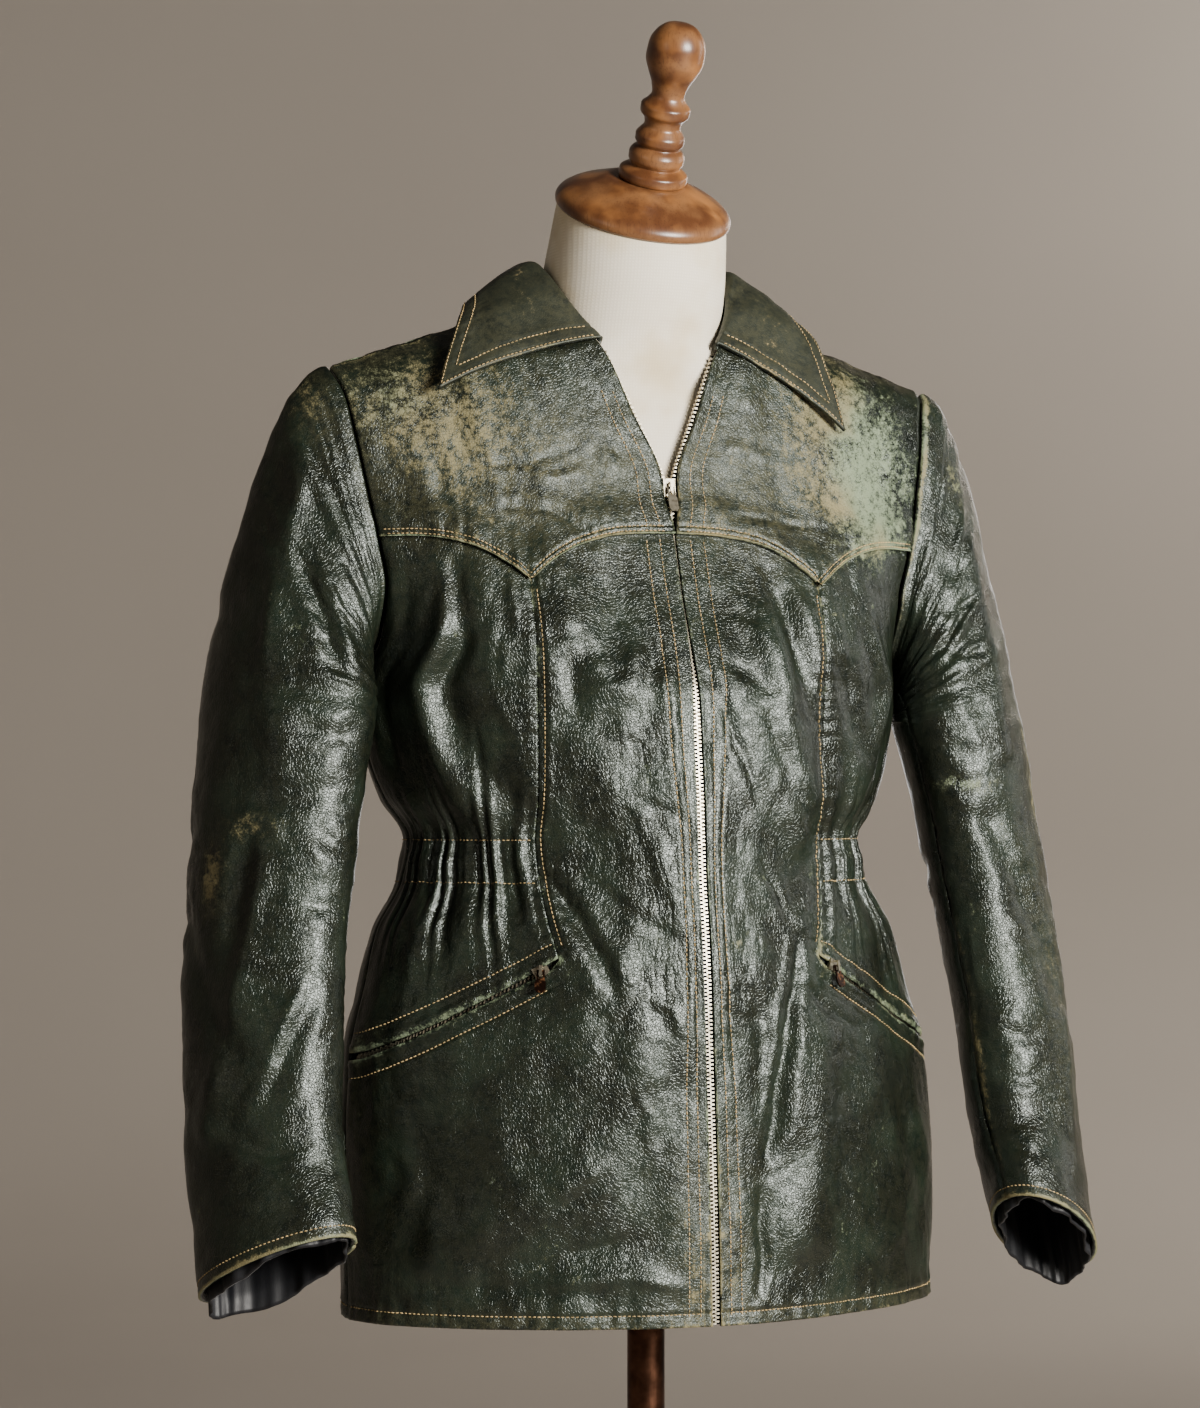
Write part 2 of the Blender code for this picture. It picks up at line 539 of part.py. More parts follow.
def turned(name, profile, finish, centre=(0, 0, 0), tilt=0.0, sides=24):
    """A solid of revolution about an axis that leans towards the front by tilt."""
    axis = np.array((0, -math.sin(tilt), math.cos(tilt)))
    side_ways, ahead = np.array((1.0, 0, 0)), np.array((0, math.cos(tilt), math.sin(tilt)))
    centre = np.asarray(centre, float)
    angles = 2 * math.pi * np.arange(sides) / sides
    points, rings = [], []
    for radius, height in profile:
        rings.append((len(points), radius == 0))
        if radius == 0:
            points.append(centre + height * axis)
        else:
            for a in angles:
                points.append(centre + height * axis + radius * (math.cos(a) * side_ways + math.sin(a) * ahead))
    faces = []
    for (low, low_tip), (high, high_tip) in zip(rings, rings[1:]):
        for j in range(sides):
            k = (j + 1) % sides
            if low_tip:
                faces.append((low, high + k, high + j))
            elif high_tip:
                faces.append((low + j, low + k, high))
            else:
                faces.append((low + j, low + k, high + k, high + j))
    return add_object(name, np.array(points), faces, finish)


# ---------------------------------------------------------------- panels of the body

EDGE = SEAM_GAP / 2 / QUARTER_GIRTH     # half a seam gap, as a share of a row
SIDE_NAME = {1: "left", -1: "right"}
CENTRE_COLUMNS, SIDE_COLUMNS, BACK_COLUMNS_HALF, YOKE_COLUMNS = 10, 2 * SIDE_GATHERS, BACK_GATHERS, 11

# Rows of the side front: (share of the way up, from, to), where the names are stretches of the panel.
LOWER_SHARES = (0.0, 0.40, 0.75)
WAIST_LEVELS = (974.0, 981.0, 987.5, 994.5, 1001.5, 1008.0, 1015.0)
UPPER_SHARES = (0.10, 0.24, 0.42, 0.62, 0.82, 1.0)


def side_front_levels(low, high):
    """Heights of the rows of the side front between its lower and upper edges."""
    levels = [low + s * (WAIST_LEVELS[0] - low) for s in LOWER_SHARES]
    levels += [np.full(np.shape(low), level) for level in WAIST_LEVELS]
    levels += [WAIST_LEVELS[-1] + s * (high - WAIST_LEVELS[-1]) for s in UPPER_SHARES]
    return np.stack(levels)


def side_front_grid(columns):
    """(t, v, share across) of the side front's points."""
    share = np.linspace(0, 1, columns + 1)
    t_low, t_high = float(princess(POCKET_Z)), float(princess(YOKE_POINT_Z))
    low = along_line(pocket_line, t_low + share * (1 - t_low), POCKET_Z, POCKET_GAP / 2)
    high = along_line(yoke_seam, t_high + share * (1 - t_high), YOKE_POINT_Z, LAP)
    v = side_front_levels(low, high)
    start = princess(v) + EDGE
    t = start + share * (1 - EDGE - start)
    return t, v, np.broadcast_to(share, v.shape)


def side_front(side):
    t, v, share = side_front_grid(SIDE_COLUMNS)
    relief = gather_relief(SIDE_GATHERS, share, v)
    outer, normal = on_body("front", side, t, v, relief=relief)
    wall(f"side_front_{SIDE_NAME[side]}", outer, outer - LEATHER * normal, "leather", side)


SKIRT_LEVELS = (705.0, 742.0, 785.0, 830.0)
SKIRT_ZIP_TOP, POCKET_ZIP_TOP = 828.0, 905.0
POCKET_SHARES = (0.0, 0.12, 0.26, 0.42, 0.60, 0.80)


def centre_front(side):
    """From the zip to the princess seam, and under the pocket on to the side seam."""
    t_side, v_side, _ = side_front_grid(SIDE_COLUMNS)
    seam_v = np.concatenate([[v_side[0, 0] - POCKET_GAP], v_side[:, 0]])
    seam_t = princess(seam_v) - EDGE
    pocket_t = 1 - EDGE + (seam_t[0] - (1 - EDGE)) * np.array(POCKET_SHARES)
    pocket_v = along_line(pocket_line, pocket_t, POCKET_Z, -POCKET_GAP / 2)
    skirt_v = np.array(SKIRT_LEVELS)
    edge_t = np.concatenate([np.full(skirt_v.shape, 1 - EDGE), pocket_t, seam_t])
    edge_v = np.concatenate([skirt_v, pocket_v, seam_v])
    zip_v = np.concatenate([
        HEM + (SKIRT_ZIP_TOP - HEM) * (skirt_v - HEM) / (pocket_v[0] - HEM),
        SKIRT_ZIP_TOP + (POCKET_ZIP_TOP - SKIRT_ZIP_TOP) * np.array(POCKET_SHARES),
        np.linspace(POCKET_ZIP_TOP, float(yoke_seam(0.0)) + LAP, len(seam_v)),
    ])
    share = np.linspace(0, 1, CENTRE_COLUMNS + 1)
    t = edge_t[:, None] * share
    v = zip_v[:, None] + (edge_v - zip_v)[:, None] * share ** 1.3
    v[-1] = along_line(yoke_seam, t[-1], YOKE_POINT_Z, LAP)
    outer, normal = on_body("front", side, t, v)
    wall(f"front_{SIDE_NAME[side]}", outer, outer - LEATHER * normal, "leather", side)


SHOULDER_INSET = 0.25                          # in rows
RIDGE_UP = np.array((0.316, 0.0, 0.949))       # the two walls meet along this plane at the shoulder seam
YOKE_SHARES = (0.0, 0.055, 0.11, 0.20, 0.32, 0.46, 0.60, 0.74, 0.87, 1.0)


def yoke(side):
    """From the scalloped seam to the shoulder seam; its lower edge stands out over the panels it laps."""
    share = np.linspace(0, 1, YOKE_COLUMNS + 1)
    t_point = float(across_at(YOKE_POINT_X, YOKE_POINT_Z))
    at_point = int(round(t_point * YOKE_COLUMNS))
    share[at_point] = t_point
    across = share * (1 - EDGE)
    low = along_line(yoke_seam, across, YOKE_POINT_Z)
    t = np.broadcast_to(across, (len(YOKE_SHARES), len(across)))
    v = np.stack([low + s * (SHOULDER - SHOULDER_INSET - low) for s in YOKE_SHARES])
    v = snap_rows(v, NECK_CORNER)
    lift = LAP_RISE * (1 - smooth_step(v - low, LAP + 2, LAP + 26))
    outer, normal = on_body("front", side, t, v, lift=lift)
    normal[-1] = RIDGE_UP * np.array([side, 1, 1])
    wall(f"yoke_{SIDE_NAME[side]}", outer, outer - LEATHER * normal, "leather", side)


def snap_rows(v, level):
    """Moves the row nearest to a level onto it at the zip edge, fading out across the panel."""
    row = int(np.argmin(np.abs(v[:, 0] - level)))
    fade = np.linspace(1, 0, v.shape[1])
    v[row] += (level - v[row, 0]) * fade
    return v


BACK_LEVELS = (705.0, 750, 805, 860, 905, 940, 964, 981, 989, 1000, 1008, 1024, 1048, 1076,
               1106, 1138, 1168, 1200, 1238, 1275, 1305, 1328)
NECK_SHARE = 0.70        # share of the back's columns that end on the shoulder seam
SHEAR_FROM = 1168.0


def back():
    """One piece from side seam to side seam; its columns spread at the top to end along the neckline."""
    column = np.linspace(0, 1, BACK_COLUMNS_HALF + 1)
    top_t = np.minimum(column / NECK_SHARE, 1.0)
    past = np.clip((column - NECK_SHARE) / (1 - NECK_SHARE), 0, 1)
    ridge = SHOULDER - SHOULDER_INSET
    top_v = ridge - past * (ridge - NECK_BACK)
    top_x = back_base(top_t, top_v)[..., 0]
    levels = np.array(BACK_LEVELS)[:, None]
    stretch = (top_v - SHEAR_FROM) / (NECK_BACK - SHEAR_FROM)
    v = np.where(levels > SHEAR_FROM, SHEAR_FROM + (levels - SHEAR_FROM) * stretch, levels)
    t = np.broadcast_to(column, v.shape).copy()
    above = np.array(BACK_LEVELS) > SHEAR_FROM
    rise = (v[above] - SHEAR_FROM) / (top_v - SHEAR_FROM)
    foot_x = back_base(column, np.full(column.shape, SHEAR_FROM))[..., 0]
    side_x = back_base(np.zeros_like(v[above]), v[above])[..., 0]
    inner_x = foot_x + (top_x - foot_x) * rise
    t[above] = back_across_at(np.minimum(inner_x, side_x), v[above])
    t[-1] = top_t
    t = np.clip(t, EDGE, 1.0)
    halves = []
    for side in (-1, 1):
        share = column / 2 if side < 0 else 1 - column / 2
        relief = gather_relief(BACK_GATHERS, share, v)
        outer, normal = on_body("back", side, t, v, relief=relief)
        normal[-1, top_t < 1] = RIDGE_UP * np.array([side, 1, 1])
        halves.append((outer, outer - LEATHER * normal))
    (right_outer, right_inner), (left_outer, left_inner) = halves
    outer = np.concatenate([left_outer, right_outer[:, -2::-1]], axis=1)
    inner = np.concatenate([left_inner, right_inner[:, -2::-1]], axis=1)
    wall("back", outer, inner, "leather")


# ---------------------------------------------------------------- sleeves and linings

TOP_COLUMNS, UNDER_COLUMNS = 12, 8
SLEEVE_LEVELS = (0.0, 0.12, 0.26, 0.44, 0.66, 0.86, 1.0, 1.12, 1.24, 1.36, 1.48, 1.60, 1.72, 1.84, 1.93, 2.0)
SLEEVE_EDGE = SEAM_GAP / 2 / 290.0


def sleeve_panel(name, side, start, end, columns):
    share = np.linspace(start + SLEEVE_EDGE, end - SLEEVE_EDGE, columns + 1)
    down = np.array(SLEEVE_LEVELS)[::-1, None]
    outer, normal = on_sleeve(side, share, down)
    wall(f"{name}_{SIDE_NAME[side]}", outer, outer - LEATHER * normal, "leather", side)


LINING_GATHERS = 12
LINING_WALL, LINING_DEPTH = 1.2, 6.0
LINING_LEVELS = (2.018, 1.985, 1.93, 1.86)


def cuff_lining(side):
    """A gathered tube inside the cuff, hanging a little below its edge."""
    columns = 2 * LINING_GATHERS
    share = np.arange(columns) / columns
    down = np.array(LINING_LEVELS)[:, None] + 0 * share
    down[0] += 0.012 * np.cos(2 * math.pi * (share - 0.7))
    wave = 1.3 * np.cos(math.pi * np.arange(columns)) * (1 + 0.3 * np.sin(7 * share))
    outer, normal = on_sleeve(side, share, down, lift=-LINING_DEPTH + wave)
    wall(f"cuff_lining_{SIDE_NAME[side]}", outer, outer - LINING_WALL * normal, "lining", side, closed_round=True)


# ---------------------------------------------------------------- collar

COLLAR_COLUMNS = 26
STAND_SHARES = (0.0, 0.5, 0.85)
FALL_SHARES = (0.0, 0.10, 0.28, 0.60, 1.0)


def neckline(side, share):
    """The neck seam from the centre back (0) to the front corner (1)."""
    to_shoulder = 0.58
    v_back = NECK_BACK + (SHOULDER - NECK_BACK) * np.clip(share / to_shoulder, 0, 1)
    v_front = SHOULDER - (SHOULDER - NECK_CORNER) * np.clip((share - to_shoulder) / (1 - to_shoulder), 0, 1)
    behind = back_base(np.ones_like(share), v_back)
    ahead = front_base(np.zeros_like(share), v_front)
    return np.where((share < to_shoulder)[:, None], behind, ahead)


def collar():
    """Stand and fall in one folded wall: two Beziers, neck seam to fold and fold to outer edge."""
    share = np.linspace(0, 1, COLLAR_COLUMNS // 2 + 1)
    halves = []
    for side in (-1, 1):
        seam = neckline(side, share) + np.array([0, 0, 0.6])
        fold = read_table(COLLAR_FOLD, share)
        edge = read_table(COLLAR_EDGE[side], share)
        away = edge - fold
        away[:, 2] = 0
        away /= np.linalg.norm(away, axis=1, keepdims=True)
        rise = np.linalg.norm(fold - seam, axis=1, keepdims=True)
        curl = np.minimum(0.35 * rise, 6.0)
        up = np.array([0, 0, 1.0])
        fall = np.linalg.norm(edge - fold, axis=1, keepdims=True)
        rows = []
        for s in STAND_SHARES:
            rows.append(bezier(seam, seam + 0.45 * rise * up, fold - curl * away, fold, np.full(share.shape, s)))
        for s in FALL_SHARES:
            rows.append(bezier(fold, fold + (curl + 2) * away, edge + 0.4 * (fold - edge) + 0.1 * fall * up, edge,
                               np.full(share.shape, s)))
        halves.append(np.stack(rows) * np.array([side, 1, 1]))
    sheet = np.concatenate([halves[0][:, ::-1], halves[1][:, 1:]], axis=1)
    across = np.gradient(sheet, axis=1)
    along = np.gradient(sheet, axis=0)
    normal = np.cross(along, across)
    normal /= np.linalg.norm(normal, axis=-1, keepdims=True)
    wall("collar", sheet, sheet - COLLAR_WALL * normal, "leather", -1)


# ---------------------------------------------------------------- zips

BEAD_TOP, BEAD_LOW, TAPE_TOP = 2.4, 4.5, 3.5
BEAD_WIDTH, TAPE_WIDTH = 2.6, 10.0
ZIP_LEVELS = tuple(np.linspace(705.8, 1203, 24)) + (1217, 1225, 1231, 1238, 1245, 1262, 1280, 1300, 1318)


def zip_section(width_in, side, v):
    """The six corners of one side's tape and teeth at row v, starting width_in from the centre."""
    corners = ((0, BEAD_TOP), (BEAD_WIDTH, BEAD_TOP), (BEAD_WIDTH, TAPE_TOP), (TAPE_WIDTH, TAPE_TOP),
               (TAPE_WIDTH, BEAD_LOW), (0, BEAD_LOW))
    x = np.array([width_in + b for b, _ in corners])
    depth = np.array([n for _, n in corners])
    t = across_at(x, np.full(x.shape, v))
    point, _ = on_body("front", side, t, np.full(x.shape, v), lift=-depth)
    return point


def zip_tape(side):
    sections = [zip_section(float(read_table(CHAIN_ROWS, v)[0]), side, v) for v in ZIP_LEVELS]
    swept(f"zip_tape_{SIDE_NAME[side]}", np.array(sections), "zip_tape", flip=side < 0)


def helper(made):
    made.hide_render = True
    made.display_type = "WIRE"
    return made


def frame_box(name, frame, low, high, finish):
    """A box along a local frame (origin, right, out, up), low and high in mm."""
    origin, right, out, up = frame
    corners = [origin + x * right + n * out + z * up
               for x in (low[0], high[0]) for n in (low[1], high[1]) for z in (low[2], high[2])]
    faces = [(0, 1, 3, 2), (4, 6, 7, 5), (0, 4, 5, 1), (2, 3, 7, 6), (0, 2, 6, 4), (1, 5, 7, 3)]
    made = add_object(name, np.array(corners), faces, finish, smooth=False)
    work = bmesh.new()
    work.from_mesh(made.data)
    bmesh.ops.recalc_face_normals(work, faces=work.faces)
    work.to_mesh(made.data)
    work.free()
    return made


def joined(base, pieces, operation="UNION"):
    for piece in pieces:
        step = base.modifiers.new(piece.name, "BOOLEAN")
        step.operation = operation
        step.object = helper(piece)


ARCH_SPAN, ARCH_TOP, PIN_OUT = 3.6, 3.0, 0.8


def arch(name, frame, plate_top, finish):
    """The bridge on a slider that the pull hangs from: two legs and a bar."""
    legs = [frame_box(f"{name}_leg_{i}", frame, (-0.9, plate_top - 0.3, z), (0.9, ARCH_TOP, z + 1.1), finish)
            for i, z in enumerate((-ARCH_SPAN, ARCH_SPAN - 1.1))]
    bar = frame_box(f"{name}_bar", frame, (-0.9, ARCH_TOP - 1.0, -ARCH_SPAN), (0.9, ARCH_TOP, ARCH_SPAN), finish)
    return legs + [bar]


def turn(frame, about, angle):
    """A frame turned about one of its own axes (1 is right, 2 is out)."""
    origin, right, out, up = frame
    c, s = math.cos(angle), math.sin(angle)
    if about == 1:
        return origin, right, c * out + s * up, c * up - s * out
    return origin, c * right + s * up, out, c * up - s * right


PULL_EYE, PULL_NECK = 5.6, 2.6      # how far down the eye reaches, and half the width there, in mm


def pull(name, frame, length, width, finish):
    """A pull tab: a plate with an eye round the arch, and a small hole at its end."""
    origin, right, out, up = frame
    half = width / 2
    right_edge = [(PULL_NECK, 0.6), (PULL_NECK, -PULL_EYE), (half, -PULL_EYE - 2), (half, -length + 2),
                  (half - 1.4, -length)]
    outline = [(-PULL_NECK, 0.6)] + right_edge + [(-x, z) for x, z in right_edge[:0:-1]]
    layers = [[origin + x * right + z * up + n * out for x, z in outline] for n in (0.5, -0.5)]
    plate = swept(name, np.array(layers), finish)
    eye = frame_box(f"{name}_eye", frame, (-1.35, -2, -PULL_EYE + 0.6), (1.35, 2, -0.5), finish)
    joined(plate, [eye], "DIFFERENCE")
    return plate


def body_frame(side, t, v, lift=0.0):
    """Origin, right (wearer's left), out and up of the cloth at a point."""
    point, normal = on_body("front", side, np.array([t]), np.array([v]), lift=lift)
    out = normal[0]
    up = np.array([0, 0, 1.0]) - out[2] * out
    up /= np.linalg.norm(up)
    return point[0], np.cross(up, -out), out, up


SLIDER_ROW = 1234.0
SLIDER_HALF, SLIDER_LOW, SLIDER_HIGH = 4.1, -6.0, 6.6
PLATE_OUT, PLATE_IN = -0.8, -2.0
PULL_TILT = math.radians(14)


def front_zip_hardware():
    point, normal = on_body("front", 1, across_at(0.0, np.array([SLIDER_ROW])), np.array([SLIDER_ROW]))
    out = np.array([0, normal[0][1], normal[0][2]])
    out /= np.linalg.norm(out)
    up = np.array([0, -out[2], out[1]])
    up *= np.sign(up[2])
    origin = np.array([0, point[0][1], point[0][2]])
    frame = (origin, np.array([1.0, 0, 0]), out, up)
    plate = frame_box("zip_slider", frame, (-SLIDER_HALF, PLATE_IN, SLIDER_LOW),
                      (SLIDER_HALF, PLATE_OUT, SLIDER_HIGH), "zip_metal")
    behind = frame_box("slider_behind", frame, (-SLIDER_HALF, -6.0, SLIDER_LOW),
                       (SLIDER_HALF, -4.9, SLIDER_HIGH), "zip_metal")
    post = frame_box("slider_post", frame, (-1.1, -5.2, 5.0),
                     (1.1, PLATE_IN + 0.3, SLIDER_HIGH - 0.2), "zip_metal")
    joined(plate, [post, behind] + arch("slider_arch", frame, PLATE_OUT, "zip_metal"))
    pin = (origin + PIN_OUT * out, frame[1], out, up)
    pull("zip_pull", turn(pin, 1, PULL_TILT), 17.0, 6.4, "zip_metal")
    return pin[0]


# ---------------------------------------------------------------- pocket zips

POCKET_ZIP_SHARES = tuple(np.linspace(0.0, 1.0, 13))
POCKET_TAPE_HALF = 8.0
POCKET_SLIDER_SHARE = 0.05
ARCH_RAISED, KEEL_IN = 2.4, -1.5


def pocket_point(share):
    """(t, v) along the pocket zip, from its inner end (0) to the side seam (1)."""
    t0 = float(princess(POCKET_Z)) + 0.012
    t = t0 + np.asarray(share, float) * (0.955 - t0)
    return t, along_line(pocket_line, t, POCKET_Z)


def pocket_zip(side):
    """Closed zip behind the slit: a flat tape with a raised chain along its middle."""
    corners = ((-POCKET_TAPE_HALF, 3.8), (-1.8, 3.8), (-1.8, 2.4), (1.8, 2.4), (1.8, 3.8),
               (POCKET_TAPE_HALF, 3.8), (POCKET_TAPE_HALF, 4.8), (-POCKET_TAPE_HALF, 4.8))
    rise = np.array([b for b, _ in corners])
    depth = np.array([n for _, n in corners])
    sections = []
    for share in POCKET_ZIP_SHARES:
        t, v = pocket_point(share)
        point, _ = on_body("front", side, np.full(rise.shape, float(t)), float(v) + rise, lift=-depth)
        sections.append(point)
    swept(f"pocket_zip_{SIDE_NAME[side]}", np.array(sections), "zip_tape", flip=side > 0)


def pocket_hardware(side):
    t, v = pocket_point(np.array([POCKET_SLIDER_SHARE]))
    frame = body_frame(side, float(t[0]), float(v[0]))
    t1, v1 = pocket_point(np.array([POCKET_SLIDER_SHARE + 0.06]))
    ahead = body_frame(side, float(t1[0]), float(v1[0]))[0] - frame[0]
    slant = math.atan2(float(ahead @ frame[3]), float(ahead @ frame[1]))
    along = turn(frame, 2, slant)
    name = SIDE_NAME[side]
    plate = frame_box(f"pocket_slider_{name}", along, (-5.0, 0.9, -3.8), (5.0, 1.9, 3.8), "zip_metal")
    keel = frame_box(f"pocket_keel_{name}", along, (-4.0, KEEL_IN, -1.4), (4.0, 1.2, 1.4), "zip_metal")
    raised = (frame[0] + ARCH_RAISED * frame[2], *frame[1:])
    joined(plate, [keel] + arch(f"pocket_arch_{name}", raised, PLATE_OUT, "zip_metal"))
    pin = frame[0] + (ARCH_RAISED + PIN_OUT) * frame[2]
    tilted = turn((pin, *frame[1:]), 1, math.radians(12))
    pull(f"pocket_pull_{name}", tilted, 14.0, 7.0, "brown_metal")
    return pin, frame[1]


# ---------------------------------------------------------------- dress form

FORM_SIDES = 22


def form_torso():
    """Limbless torso with its neck, through rings that lean forward towards the neck's cut."""
    rings = []
    for height, centre_y, half_width, front, behind, tilt in FORM_ROWS:
        a = 2 * math.pi * np.arange(FORM_SIDES) / FORM_SIDES
        tilt = math.radians(tilt)
        depth = np.where(np.sin(a) > 0, behind, front) * np.sin(a)
        x = half_width * np.cos(a)
        rings.append(np.stack([x, centre_y + depth * math.cos(tilt), height + depth * math.sin(tilt)], -1))
    swept("form_torso", np.array(rings), "canvas")


def dress_form():
    form_torso()
    turned("neck_cap", CAP_PROFILE, "wood", CAP_CENTRE, CAP_TILT, 24)
    turned("finial", FINIAL_PROFILE, "wood", CAP_CENTRE + FINIAL_OFFSET, CAP_TILT, 16)
    top = FORM_ROWS[0, 0] - 0.3
    foot = BASE_PROFILE[-1][1] + 0.3
    turned("pole", ((0, foot), (POLE_RADIUS, foot), (POLE_RADIUS, top), (0, top)), "pole_metal", sides=20)
    turned("base", BASE_PROFILE, "pole_metal", sides=28)


# ---------------------------------------------------------------- the whole object


def clear_scene():
    for made in list(bpy.data.objects):
        bpy.data.objects.remove(made, do_unlink=True)


def main():
    clear_scene()
    for side in (-1, 1):
        centre_front(side)
        side_front(side)
        yoke(side)
        sleeve_panel("top_sleeve", side, FRONT_SLEEVE_SEAM, BACK_SLEEVE_SEAM, TOP_COLUMNS)
        sleeve_panel("under_sleeve", side, BACK_SLEEVE_SEAM, 1 + FRONT_SLEEVE_SEAM, UNDER_COLUMNS)
        cuff_lining(side)
        zip_tape(side)
        pocket_zip(side)
        pocket_hardware(side)
    back()
    collar()
    front_zip_hardware()
    dress_form()


main()
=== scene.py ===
"""Looks of the green leather jacket on its dress form: grained hide, thread, zip teeth, satin, cloth, wood, bronze.

Every piece is worked out in mm on the same curves as its solid and made in metres, in the solids' frame.
"""

import functools
import math

import bmesh
import bpy
import numpy as np
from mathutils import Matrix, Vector


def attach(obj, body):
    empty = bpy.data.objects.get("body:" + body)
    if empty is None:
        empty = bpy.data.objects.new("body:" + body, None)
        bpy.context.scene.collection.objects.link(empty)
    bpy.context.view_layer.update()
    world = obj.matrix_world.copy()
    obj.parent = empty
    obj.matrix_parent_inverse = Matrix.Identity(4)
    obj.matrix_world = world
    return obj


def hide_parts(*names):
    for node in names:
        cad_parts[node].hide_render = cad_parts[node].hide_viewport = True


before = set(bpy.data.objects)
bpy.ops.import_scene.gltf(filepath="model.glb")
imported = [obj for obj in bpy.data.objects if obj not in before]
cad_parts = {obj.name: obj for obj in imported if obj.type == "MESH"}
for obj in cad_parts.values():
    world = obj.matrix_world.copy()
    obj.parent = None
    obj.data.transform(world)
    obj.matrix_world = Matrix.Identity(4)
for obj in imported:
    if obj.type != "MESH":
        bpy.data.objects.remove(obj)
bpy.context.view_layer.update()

MM = 0.001


# ---------------------------------------------------------------- driving sizes, in mm
LEATHER = 1.8            # wall of the leather
SEAM_GAP = 0.3           # between two sewn pieces
LAP = 8.0                # the yoke lies this far over the panels below it
LAP_RISE = 2.6           # and this far out from them
HEM = 705.0
UNDERARM = 1100.0
SHOULDER = 1350.0        # row name of the shoulder seam
NECK_CORNER = 1320.0     # row name of the front end of the neckline
NECK_BACK = 1328.0       # row name of the centre back of the neckline
WAIST_LOW, WAIST_HIGH = 981.0, 1008.0   # the two rows of elastic
QUARTER_GIRTH = 235.0    # mean run of a row from centre to side
POCKET_GAP = 4.4         # opening in which the pocket zip shows
YOKE_POINT_X, YOKE_POINT_Z = 100.0, 1170.0
YOKE_CENTRE_RISE, YOKE_SIDE_RISE = 33.5, 31.0
YOKE_SIDE_RUN = 75.0
POCKET_X, POCKET_Z = 90.0, 932.0
POCKET_END_X, POCKET_END_Z = 200.0, 871.0

# Front rows: the zip edge (x, y, z), the side seam or armhole (x, y, z), the handles of the curve as shares
# of the run, and the angle from +X at which the row reaches its outer end.
# Columns: row, zip_x, zip_y, zip_z, side_x, side_y, side_z, centre_k, side_k, angle.
FRONT_ROWS = np.array([
    (705, 3.0, -107, 705, 204, 12, 705, 0.40, 0.48, 90),
    (800, 3.0, -105, 800, 205, 11, 800, 0.38, 0.48, 90),
    (870, 3.0, -103, 870, 201, 11, 870, 0.34, 0.47, 90),
    (910, 3.0, -102, 910, 191, 14, 910, 0.31, 0.46, 90),
    (950, 3.0, -99, 950, 180, 18, 950, 0.30, 0.46, 90),
    (981, 3.0, -95, 981, 162, 22, 981, 0.34, 0.48, 90),
    (1008, 3.0, -93, 1008, 156, 24, 1008, 0.37, 0.48, 90),
    (1035, 3.0, -91, 1035, 172, 25, 1035, 0.42, 0.50, 90),
    (1062, 3.0, -88, 1062, 182, 27, 1062, 0.47, 0.50, 90),
    (1100, 2.4, -84, 1100, 188, 30, 1100, 0.53, 0.50, 90),
    (1135, 1.0, -73, 1135, 181, 4, 1140, 0.60, 0.42, 66),
    (1165, 0.7, -61, 1165, 181, -9, 1168, 0.62, 0.36, 45),
    (1195, 0.7, -51, 1195, 186, -11, 1195, 0.60, 0.35, 30),
    (1208, 1.0, -47, 1208, 188, -11, 1206, 0.58, 0.35, 27),
    (1225, 4.7, -43, 1225, 191, -10, 1218, 0.56, 0.35, 23),
    (1241, 5.4, -40, 1241, 193, -8, 1230, 0.54, 0.35, 20),
    (1280, 22.0, -33, 1282, 199.5, -3, 1265, 0.50, 0.35, 15),
    (1320, 41.0, -23, 1327, 204, 5, 1292, 0.45, 0.35, 10),
    (1335, 59.0, -2, 1346, 208, 13, 1304, 0.40, 0.35, 5),
    (1350, 69.0, 26, 1360, 210, 22, 1311, 0.35, 0.35, 0),
], float)
# Back rows: the side seam or armhole, then the centre back or neckline.
# Columns: row, side_x, side_y, side_z, mid_x, mid_y, mid_z, side_k, centre_k, angle.
BACK_ROWS = np.array([
    (705, 204, 12, 705, 0, 136, 705, 0.52, 0.52, 90),
    (800, 205, 11, 800, 0, 134, 800, 0.52, 0.52, 90),
    (870, 201, 11, 870, 0, 131, 870, 0.52, 0.52, 90),
    (910, 191, 14, 910, 0, 127, 910, 0.52, 0.52, 90),
    (950, 180, 18, 950, 0, 119, 950, 0.52, 0.52, 90),
    (981, 162, 22, 981, 0, 111, 981, 0.52, 0.52, 90),
    (1008, 156, 24, 1008, 0, 108, 1008, 0.52, 0.52, 90),
    (1035, 172, 25, 1035, 0, 111, 1035, 0.52, 0.52, 90),
    (1062, 182, 27, 1062, 0, 114, 1062, 0.52, 0.54, 90),
    (1100, 188, 30, 1100, 0, 118, 1100, 0.50, 0.58, 90),
    (1135, 183, 58, 1140, 0, 120, 1140, 0.42, 0.60, 120),
    (1165, 184, 71, 1168, 0, 121, 1170, 0.36, 0.60, 138),
    (1195, 188, 76, 1195, 0, 121, 1200, 0.34, 0.60, 150),
    (1241, 194, 71, 1232, 0, 119, 1246, 0.34, 0.56, 160),
    (1280, 201, 59, 1266, 0, 115, 1290, 0.34, 0.50, 165),
    (1320, 206, 43, 1293, 0, 106, 1338, 0.34, 0.45, 170),
    (1328, 207.3, 38, 1298, 0, 99, 1350, 0.34, 0.42, 172),
    (1334, 208.3, 34, 1302, 26, 94, 1351.5, 0.34, 0.38, 174),
    (1339, 209.0, 30, 1305, 48, 78, 1354, 0.34, 0.35, 176),
    (1345, 209.6, 26, 1308.5, 63, 54, 1357.5, 0.34, 0.34, 178),
    (1350, 210, 22, 1311, 69, 26, 1360, 0.35, 0.35, 180),
], float)
